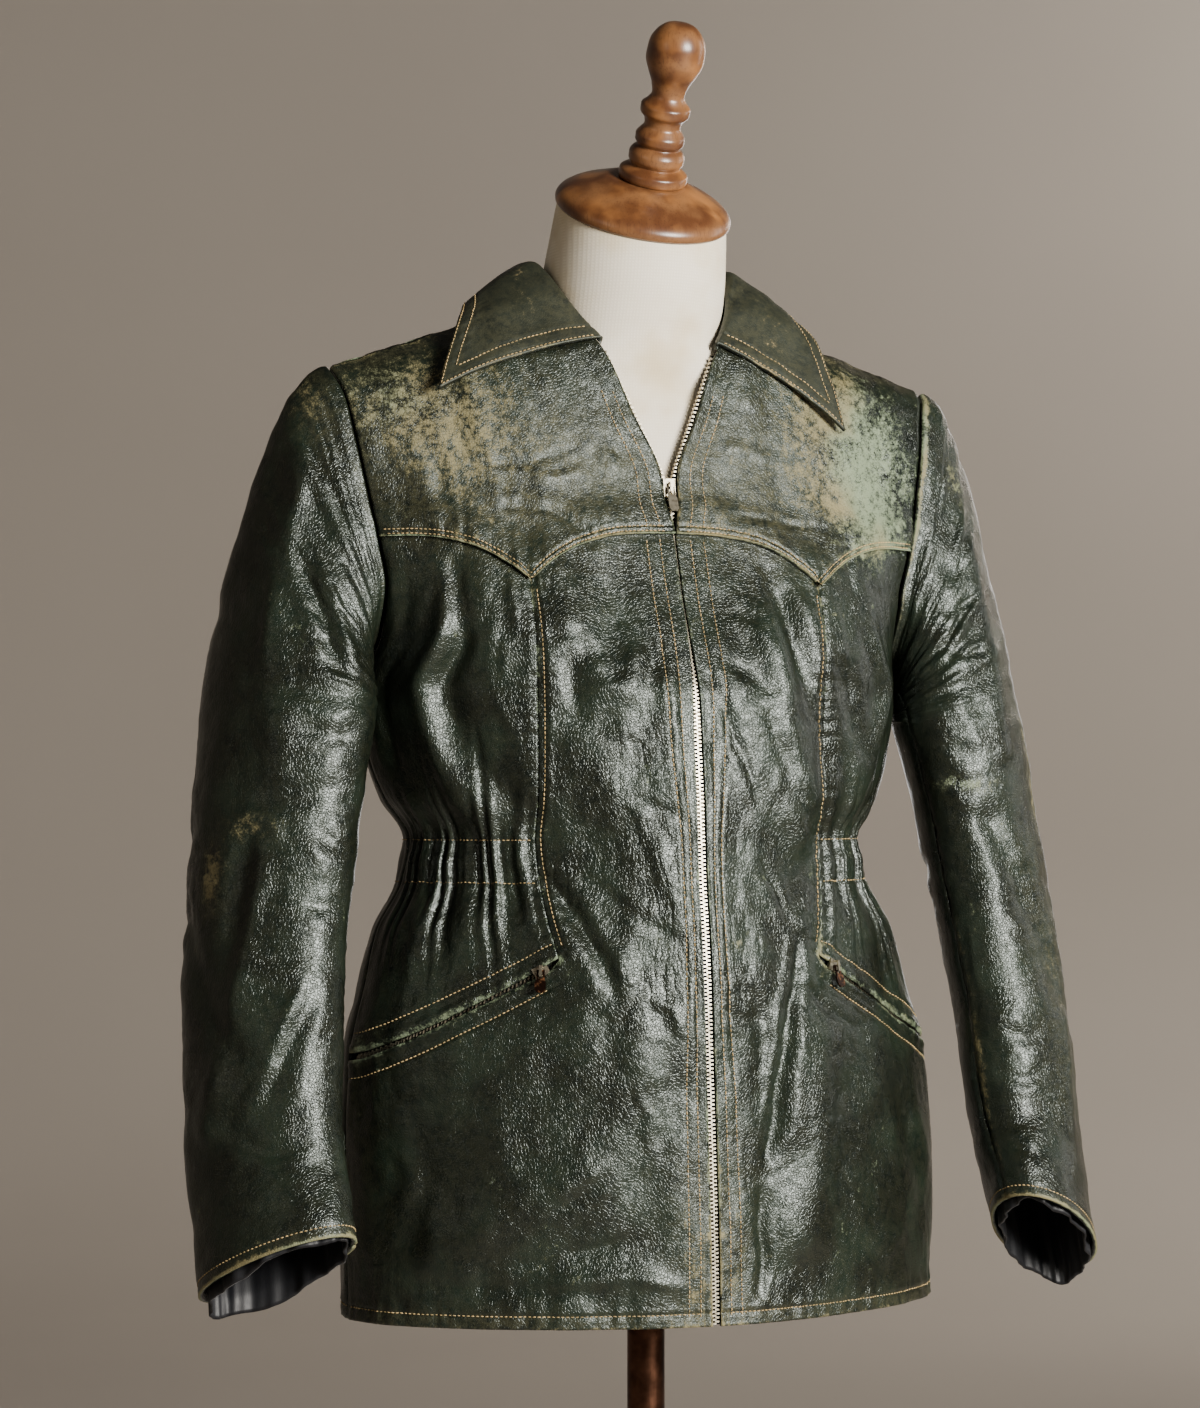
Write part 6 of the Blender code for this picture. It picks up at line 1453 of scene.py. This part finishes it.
def cuff_lining(side):
    """Satin gathered inside the cuff: twelve folds with finer ones between, ending a little unevenly."""
    columns = 144
    share = np.arange(columns) / columns
    down = np.linspace(2.018, 1.86, 26)[:, None] + 0 * share
    low = np.linspace(1, 0, 26)[:, None] ** 2
    down = down + low * (0.012 * np.cos(2 * math.pi * (share - 0.7)) + 0.004 * np.cos(2 * math.pi * 5 * share))
    wave = 1.3 * np.cos(2 * math.pi * LINING_GATHERS * share) * (1 + 0.3 * np.sin(7 * share))
    wave = wave + 0.5 * np.cos(2 * math.pi * (29 * share + 3 * (down - 1.9))) * low
    outer, normal = on_sleeve(side, share, down, lift=-LINING_DEPTH)
    outer = outer + wave[..., None] * normal
    made = tube_wall(f"satin_cuff_{SIDE_NAME[side]}", outer, normal, LINING_WALL, SATIN, side < 0)
    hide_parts(f"cuff_lining_{SIDE_NAME[side]}")


# ---------------------------------------------------------------- collar

COLLAR_ACROSS = 111


def neckline(share):
    """The neck seam from the centre back (0) to the front corner (1)."""
    to_shoulder = 0.58
    v_back = NECK_BACK + (SHOULDER - NECK_BACK) * np.clip(share / to_shoulder, 0, 1)
    v_front = SHOULDER - (SHOULDER - NECK_CORNER) * np.clip((share - to_shoulder) / (1 - to_shoulder), 0, 1)
    behind = back_base(np.ones_like(share), v_back)
    ahead = front_base(np.zeros_like(share), v_front)
    return np.where((share < to_shoulder)[:, None], behind, ahead)


def collar_sheet():
    """Stand and fall as two Beziers at each share of the way round: neck seam to fold, and fold to outer edge."""
    share = np.linspace(0, 1, COLLAR_ACROSS)
    stand_steps, fall_steps = np.linspace(0, 1, 19)[:-1], np.linspace(0, 1, 58)
    halves = []
    for side in (-1, 1):
        seam = neckline(share) + np.array([0, 0, 0.6])
        fold = read_table(COLLAR_FOLD, share)
        edge = read_table(COLLAR_EDGE[side], share)
        away = edge - fold
        away[:, 2] = 0
        away /= np.linalg.norm(away, axis=1, keepdims=True)
        rise = np.linalg.norm(fold - seam, axis=1, keepdims=True)
        curl = np.minimum(0.35 * rise, 6.0)
        up = np.array([0, 0, 1.0])
        fall = np.linalg.norm(edge - fold, axis=1, keepdims=True)
        rows = [bezier(seam, seam + 0.45 * rise * up, fold - curl * away, fold, np.full(share.shape, s))
                for s in stand_steps]
        rows += [bezier(fold, fold + (curl + 2) * away, edge + 0.4 * (fold - edge) + 0.1 * fall * up, edge,
                        np.full(share.shape, s)) for s in fall_steps]
        halves.append(np.stack(rows) * np.array([side, 1, 1]))
    sheet = np.concatenate([halves[0][:, ::-1], halves[1][:, 1:]], axis=1)
    normal = np.cross(np.gradient(sheet, axis=0), np.gradient(sheet, axis=1))
    return sheet, normal / np.linalg.norm(normal, axis=-1, keepdims=True)


def line_run(points, axis):
    """Length along a grid's lines from their start, in mm."""
    step = np.linalg.norm(np.diff(points, axis=axis), axis=-1)
    zero = np.zeros_like(np.take(step, [0], axis=axis))
    return np.concatenate([zero, np.cumsum(step, axis=axis)], axis=axis)


def collar():
    """The folded collar: its sheet with creases, sunk rows and a rubbed edge, and threads along all its edges."""
    sheet, normal = collar_sheet()
    sheet, normal = sheet - COLLAR_WALL * normal, -normal
    down, round_neck = line_run(sheet, 0), line_run(sheet, 1)
    to_edge = down[-1:] - down
    to_end = np.minimum(round_neck, round_neck[:, -1:] - round_neck)
    near = np.minimum(to_edge, to_end)
    relief = 0.8 * hide_relief(round_neck, down, 1.4, 1.0, 6, 0.6) * smooth_step(down, 0, 14)
    relief = relief + sum(sunk_row(near - row, 0.4, 0.9) for row in COLLAR_ROWS)
    relief = relief + pucker(round_neck, to_edge - COLLAR_ROWS[1], 9.0, 9.0, 0.3)
    falls = np.arange(sheet.shape[0])[:, None] > 18
    wear = 0.04 + band(near, 1.2, 0.30) * falls + 0.10 * hump(down - 44, 10)
    warm = np.full(relief.shape, 0.35) + 0.4 * cloud(round_neck / 30, down / 20, 3)
    made = hide_wall("hide_collar", sheet, normal, relief, COLLAR_HIDE, ["collar"], {"wear": wear, "warm": warm},
                     step=1, thick=COLLAR_WALL)
    top = sheet + (relief + 0.25)[..., None] * normal
    rows = []
    for inset in COLLAR_ROWS:
        path_r, path_c = [], []
        columns = np.arange(sheet.shape[1])
        ends = (round_neck[-1] >= inset) & (round_neck[-1, -1] - round_neck[-1] >= inset)
        for c in columns[ends]:
            path_r.append(np.interp(down[-1, c] - inset, down[:, c], np.arange(sheet.shape[0])))
            path_c.append(c)
        rows.append(grid_path(top, normal, np.array(path_r), np.array(path_c, float)))
        for first in (True, False):
            r = np.linspace(24, path_r[0 if first else -1], 40)
            run = round_neck[r.astype(int)]
            c = [np.interp(inset if first else line[-1] - inset, line, columns) for line in run]
            rows.append(grid_path(top, normal, r, np.array(c)))
    sew("thread_collar", rows, THREAD)


def grid_path(points, normal, r, c):
    """Points and normals of a path over a grid, at fractional rows and columns."""
    r0, c0 = np.clip(r.astype(int), 0, points.shape[0] - 2), np.clip(c.astype(int), 0, points.shape[1] - 2)
    fr, fc = (r - r0)[:, None], (c - c0)[:, None]

    def read(grid):
        low = grid[r0, c0] * (1 - fc) + grid[r0, c0 + 1] * fc
        high = grid[r0 + 1, c0] * (1 - fc) + grid[r0 + 1, c0 + 1] * fc
        return low * (1 - fr) + high * fr

    return read(points), read(normal)


# ---------------------------------------------------------------- zips

BEAD_LOW, TAPE_TOP = 4.5, 3.5             # depth of the teeth's and the tape's faces under the hide
TAPE_WIDTH = 10.0
TOOTH_TOP = 1.1
TOOTH_PITCH, TOOTH_THICK = 2.5, 1.55
SLIDER_ROW = 1234.0


def front_points(side, x, v, depth):
    """Points at x mm from the centre, row v and a depth under the front's face."""
    return on_body("front", side, across_at(x, v), v, lift=-np.asarray(depth, float))


def swept(name, sections, surface):
    """A closed solid through equal many-sided sections, with flat ends."""
    made = add_piece(name, sections, ring_faces(*sections.shape[:2]), surface, smooth=False)
    outward(made)
    return made


def blocks(name, corners, surface):
    """Many small blocks as one piece: corners is count x 8 points, lower four then upper four."""
    one = ((0, 3, 2, 1), (4, 5, 6, 7), (0, 1, 5, 4), (1, 2, 6, 5), (2, 3, 7, 6), (3, 0, 4, 7))
    faces = [tuple(p + 8 * i for p in face) for i in range(len(corners)) for face in one]
    made = add_piece(name, corners, faces, surface, smooth=False)
    outward(made)
    return made


def front_zip(side):
    """A woven tape, and metal teeth that mesh below the slider and part above it."""
    levels = np.concatenate([np.linspace(705.8, 1203, 120), np.linspace(1206, 1318, 40)])
    chain = read_table(CHAIN_ROWS, levels)[..., 0]
    x = chain[:, None] + np.array([1.4, TAPE_WIDTH, TAPE_WIDTH, 1.4])
    v = np.broadcast_to(levels[:, None], x.shape)
    points, _ = front_points(side, x, v, np.array([TAPE_TOP, TAPE_TOP, BEAD_LOW, BEAD_LOW]))
    tape = swept(f"cotton_zip_tape_{SIDE_NAME[side]}", points, TAPE)
    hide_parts(f"zip_tape_{SIDE_NAME[side]}")
    start = 706.5 + (TOOTH_PITCH / 2 if side > 0 else 0.0)
    rows = np.arange(start, 1317, TOOTH_PITCH)
    rows = rows[np.abs(rows - SLIDER_ROW) > 5.5]
    chain = read_table(CHAIN_ROWS, rows)[..., 0]
    closed = rows < SLIDER_ROW
    head = np.where(closed, -0.75, 0.0) + chain
    heel = chain + 2.5
    a, b = TOOTH_THICK / 2, TOOTH_THICK / 2 * 0.72
    x = np.stack([head, heel, heel, head] * 2, -1) + np.array([0, 0, 0, 0, 0.25, -0.3, -0.3, 0.25])
    v = rows[:, None] + np.array([-a, -a, a, a, -b, -b, b, b])
    depth = np.array([BEAD_LOW - 0.1] * 4 + [TOOTH_TOP] * 4)
    points, _ = front_points(side, x, v, depth)
    blocks(f"teeth_front_{SIDE_NAME[side]}", points, ZIP_METAL)


POCKET_TAPE_HALF = 8.0


def pocket_point(share):
    """(t, v) along the pocket zip, from its inner end (0) to the side seam (1)."""
    t0 = float(princess(POCKET_Z)) + 0.012
    t = t0 + np.asarray(share, float) * (0.955 - t0)
    return t, along_line(pocket_line, t, POCKET_Z)


def pocket_zip(side):
    """Tape behind the slit, and a closed chain of teeth, each turned across the slit."""
    t, v = pocket_point(np.linspace(0, 1, 60))
    rise = np.array([-POCKET_TAPE_HALF, POCKET_TAPE_HALF, POCKET_TAPE_HALF, -POCKET_TAPE_HALF])
    depth = np.array([3.7, 3.7, 4.7, 4.7])
    points, _ = on_body("front", side, t[:, None] + 0 * rise, v[:, None] + rise, lift=-depth)
    tape = swept(f"cotton_pocket_tape_{SIDE_NAME[side]}", points, TAPE)
    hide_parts(f"pocket_zip_{SIDE_NAME[side]}")
    count = 58
    middle = np.linspace(0.07, 0.985, count)
    half = 0.0042
    shares = middle[:, None] + half * np.array([-1, 1, 1, -1, -0.7, 0.7, 0.7, -0.7])
    t, v = pocket_point(shares)
    offset = np.where(np.arange(count) % 2 == 0, 0.45, -0.45)[:, None]
    v = v + offset + np.array([-1.5, -1.5, 1.5, 1.5, -1.2, -1.2, 1.2, 1.2])
    depth = np.array([3.8] * 4 + [2.2] * 4)
    points, _ = on_body("front", side, t, v, lift=-depth)
    blocks(f"teeth_pocket_{SIDE_NAME[side]}", points, ZIP_METAL)


# ---------------------------------------------------------------- sewing


PLACKET_TOP = 1296.0                     # the collar covers the placket's rows from here


def sew_fronts():
    """Stitch lines of the fronts: placket, hem, waist, princess seam, yoke edge and pocket."""
    for side in (-1, 1):
        placket, seams = [], []
        for row in PLACKET_ROWS:
            t = row / (QUARTER_GIRTH * ZIP_RUN)
            v = np.linspace(HEM + 6, float(yoke_seam(0)) - 2, 300)
            placket.append(on_panel(side, np.full(v.shape, t), v, "centre"))
            v = np.linspace(float(yoke_seam(0)) + 4, PLACKET_TOP, 80)
            placket.append(on_panel(side, np.full(v.shape, t), v, "yoke"))
        t = np.linspace(0.03, 0.985, 220)
        seams.append(on_panel(side, t, np.full(t.shape, HEM + HEM_ROW), "centre"))
        v = np.linspace(POCKET_Z + 10, YOKE_POINT_Z - 2, 220)
        t = princess(v) - PRINCESS_STITCH / (PRINCESS_RUN * QUARTER_GIRTH)
        seams.append(on_panel(side, t, v, "centre"))
        share = np.linspace(0.02, 0.98, 120)
        for row in (WAIST_LOW, WAIST_HIGH):
            t = princess(row) + EDGE + share * (1 - 2 * EDGE - princess(row))
            v = np.full(t.shape, row)
            relief = panel_relief(side, t, v, "side") + drawn_in(SIDE_GATHERS, share, v, side)
            seams.append(on_body("front", side, t, v, lift=THREAD_LIFT, relief=relief))
        t = np.linspace(0.02, 0.985, 260)
        yoke_rows = []
        for row in YOKE_ROWS:
            v = along_line(yoke_seam, t, YOKE_POINT_Z, row)
            yoke_rows.append(on_panel(side, t, v, "yoke"))
        t0 = float(princess(POCKET_Z))
        t = np.linspace(t0 + 0.02, 0.985, 120)
        up = POCKET_ROW / POCKET_SLANT
        v = along_line(pocket_line, t, POCKET_Z, up)
        relief = panel_relief(side, t, v, "side") + drawn_in(SIDE_GATHERS, (t - t0) / (1 - t0), v, side)
        pocket = [on_body("front", side, t, v, lift=THREAD_LIFT, relief=relief)]
        v = along_line(pocket_line, t, POCKET_Z, -up)
        pocket.append(on_panel(side, t, v, "centre"))
        name = SIDE_NAME[side]
        sew(f"thread_placket_{name}", placket, THREAD)
        sew(f"thread_seams_{name}", seams, THREAD)
        sew(f"thread_yoke_{name}", yoke_rows, THREAD, pitch=2.9, length=2.2)
        sew(f"thread_pocket_{name}", pocket, THREAD)


def sew_back():
    """Hem and waist rows of the back."""
    rows = []
    for side in (-1, 1):
        t = np.linspace(0.01, 0.998, 240)
        share = t / 2 if side < 0 else 1 - t / 2
        for row in (HEM + HEM_ROW, WAIST_LOW, WAIST_HIGH):
            v = np.full(t.shape, row)
            rows.append(on_body("back", side, t, v, lift=THREAD_LIFT, relief=back_relief(side, t, v, share)))
    sew("thread_back", rows, THREAD)


def sew_sleeves():
    """The cuff row of each sleeve."""
    for side in (-1, 1):
        share = np.linspace(0, 1, 260)
        down = np.full(share.shape, 2.0 - CUFF_ROW / SLEEVE_LENGTH)
        point, normal = on_sleeve(side, share, down)
        point = point + (sleeve_relief(side, share, down) + THREAD_LIFT)[:, None] * normal
        sew(f"thread_cuff_{SIDE_NAME[side]}", [(point, normal)], THREAD)


# ---------------------------------------------------------------- dress form

def form_torso():
    """Canvas over the torso: rings between the solid's, by a cubic through them, sixty-four points round."""
    height = np.concatenate([np.linspace(800, 806, 4)[:-1], np.linspace(806, 1418, 110)])
    centre_y, half_width, front, behind, tilt = np.moveaxis(read_table(FORM_ROWS, height), -1, 0)
    a = 2 * math.pi * np.arange(64) / 64
    tilt = np.radians(tilt)[:, None]
    depth = np.where(np.sin(a) > 0, behind[:, None], front[:, None]) * np.sin(a)
    x = half_width[:, None] * np.cos(a)
    rings = np.stack([x, centre_y[:, None] + depth * np.cos(tilt), height[:, None] + depth * np.sin(tilt)], -1)
    made = add_piece("canvas_torso", rings, ring_faces(*rings.shape[:2]), CANVAS)
    made.data.set_sharp_from_angle(angle=math.radians(50))
    outward(made)
    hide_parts("form_torso")


def turned(name, profile, surface, node_name, slot, centre=(0, 0, 0), tilt=0.0, sides=72, fine=3):
    """A turned piece: its profile filled in by a cubic over its own length, carried round a leaning axis."""
    profile = np.array(profile, float)
    run = run_along(profile)
    at = np.unique(np.concatenate([np.linspace(a, b, fine + 1) for a, b in zip(run, run[1:])]))
    smooth = read_table(np.column_stack([run, profile]), at)
    smooth[:, 0] = np.maximum(smooth[:, 0], 0)
    keep = smooth[:, 0] > 0.4
    radius, height = smooth[keep, 0], smooth[keep, 1]
    axis = np.array((0, -math.sin(tilt), math.cos(tilt)))
    aside, ahead = np.array((1.0, 0, 0)), np.array((0, math.cos(tilt), math.sin(tilt)))
    a = 2 * math.pi * np.arange(sides) / sides
    ring = np.cos(a)[:, None] * aside + np.sin(a)[:, None] * ahead
    points = np.asarray(centre, float) + height[:, None, None] * axis + radius[:, None, None] * ring
    made = add_piece(name, points, ring_faces(*points.shape[:2]), surface)
    made.data.set_sharp_from_angle(angle=math.radians(42))
    outward(made)
    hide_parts(node_name)


def dress_form():
    """The torso, cap, finial, pole and base."""
    form_torso()
    turned("walnut_cap", CAP_PROFILE, WALNUT, "neck_cap", "wood", CAP_CENTRE, CAP_TILT, 96)
    turned("walnut_finial", FINIAL_PROFILE, WALNUT, "finial", "wood", CAP_CENTRE + FINIAL_OFFSET, CAP_TILT, 64, 4)
    top, foot = FORM_ROWS[0, 0] - 0.3, BASE_PROFILE[-1][1] + 0.3
    pole = ((POLE_RADIUS - 0.8, foot), (POLE_RADIUS, foot + 0.8), (POLE_RADIUS, top - 0.8), (POLE_RADIUS - 0.8, top))
    turned("bronze_pole", pole, BRONZE, "pole", "pole_metal", sides=48, fine=1)
    turned("bronze_base", BASE_PROFILE, BRONZE, "base", "pole_metal", sides=96)


# ---------------------------------------------------------------- hard pieces kept from the solids

def keep_solid(name, surface):
    """A solid whose shape is right gets the better finish."""
    for slot in bpy.data.objects[name].material_slots:
        slot.material = surface


# ---------------------------------------------------------------- stage, lights and camera

def stage():
    """A pale floor that rises all round into a plain wall: a ring profile turned about the upright axis."""
    radius = [0.02, 3.0, 5.2, 5.8, 6.2, 6.4, 6.45, 6.45]
    height = [0.0, 0.0, 0.0, 0.10, 0.40, 0.90, 1.6, 6.5]
    a = 2 * math.pi * np.arange(96) / 96
    points = np.stack([np.outer(radius, np.cos(a)), np.outer(radius, np.sin(a)), np.outer(height, np.ones(96))], -1)
    mesh = bpy.data.meshes.new("studio_sweep")
    points = points.reshape(-1, 3) - np.array([0, 0, 0.0005])
    mesh.from_pydata(points.tolist(), [], grid_faces(8, 96, 0, True, True))
    mesh.shade_smooth()
    paint, add, where = finish("matt_wall_paint", Roughness=0.95)
    tone = add("TexNoise", {"Vector": where, "Scale": 1000 / 900.0, "Detail": 2.0, "Roughness": 0.5})
    join(paint, Base_Color=add("Mix", {0: tone, 6: colour("#a39b92"), 7: colour("#aba39a")}, **OVER))
    mesh.materials.append(paint)
    sweep = bpy.data.objects.new("studio_sweep", mesh)
    bpy.context.scene.collection.objects.link(sweep)


# Softboxes: place, what they face, width and height in m, power in W, colour.
LIGHTS = {
    "key_softbox": ((0.95, -2.55, 1.60), (0.0, 0.0, 1.08), 0.95, 0.95, 200, "#fffaf2"),
    "left_fill": ((-2.6, -1.4, 1.7), (0.0, 0.0, 1.05), 0.8, 1.6, 5, "#fff4e6"),
    "right_fill": ((2.6, 0.1, 1.7), (0.0, 0.0, 1.05), 0.5, 1.6, 10, "#fffdf8"),
    "back_fill": ((1.6, 2.9, 1.5), (0.0, 0.0, 1.0), 1.6, 1.4, 24, "#ffffff"),
    "wall_wash": ((4.9, 3.4, 3.0), (3.5, 5.4, 2.3), 1.0, 1.0, 135, "#fffaf2"),
}


def lights():
    """The softboxes of the table, and a dim even air."""
    for name, (place, target, width, height, power, tint) in LIGHTS.items():
        lamp = bpy.data.lights.new(name, "AREA")
        lamp.shape, lamp.size, lamp.size_y = "RECTANGLE", width, height
        lamp.energy, lamp.color = power, colour(tint)[:3]
        made = bpy.data.objects.new(name, lamp)
        made.location = place
        made.rotation_euler = (Vector(target) - Vector(place)).to_track_quat("-Z", "Y").to_euler()
        bpy.context.scene.collection.objects.link(made)
    world = bpy.data.worlds.new("studio_air")
    world.use_nodes = True
    world.node_tree.nodes["Background"].inputs[0].default_value = colour("#8e8984")
    world.node_tree.nodes["Background"].inputs[1].default_value = 0.20
    bpy.context.scene.world = world


def camera():
    """The photograph's view: 94 mm on the long side, from the wearer's right of the front, at chest height."""
    view = bpy.data.cameras.new("camera")
    view.lens, view.sensor_width, view.sensor_fit = 93.9, 36.0, "AUTO"
    made = bpy.data.objects.new("camera", view)
    made.location = (-0.918, -2.217, 1.03)
    made.rotation_euler = (math.radians(91.58), 0.0, math.radians(-21.78))
    bpy.context.scene.collection.objects.link(made)
    bpy.context.scene.camera = made


def main():
    """Everything in a fixed order, because each row of stitches takes its random draws in turn."""
    camera()
    dress_form()
    for side in (-1, 1):
        centre_front(side)
        side_front(side)
        yoke(side)
    back()
    for side in (-1, 1):
        sleeve_panel("top_sleeve", side, FRONT_SLEEVE_SEAM, BACK_SLEEVE_SEAM, whole_steps(105))
        sleeve_panel("under_sleeve", side, BACK_SLEEVE_SEAM, 1 + FRONT_SLEEVE_SEAM, whole_steps(65))
        cuff_lining(side)
        front_zip(side)
        pocket_zip(side)
    collar()
    sew_fronts()
    sew_back()
    sew_sleeves()
    for name in ("zip_slider", "zip_pull", "pocket_slider_left", "pocket_slider_right"):
        keep_solid(name, ZIP_METAL)
    for name in ("pocket_pull_left", "pocket_pull_right"):
        keep_solid(name, BROWN_METAL)
    stage()
    lights()


main()
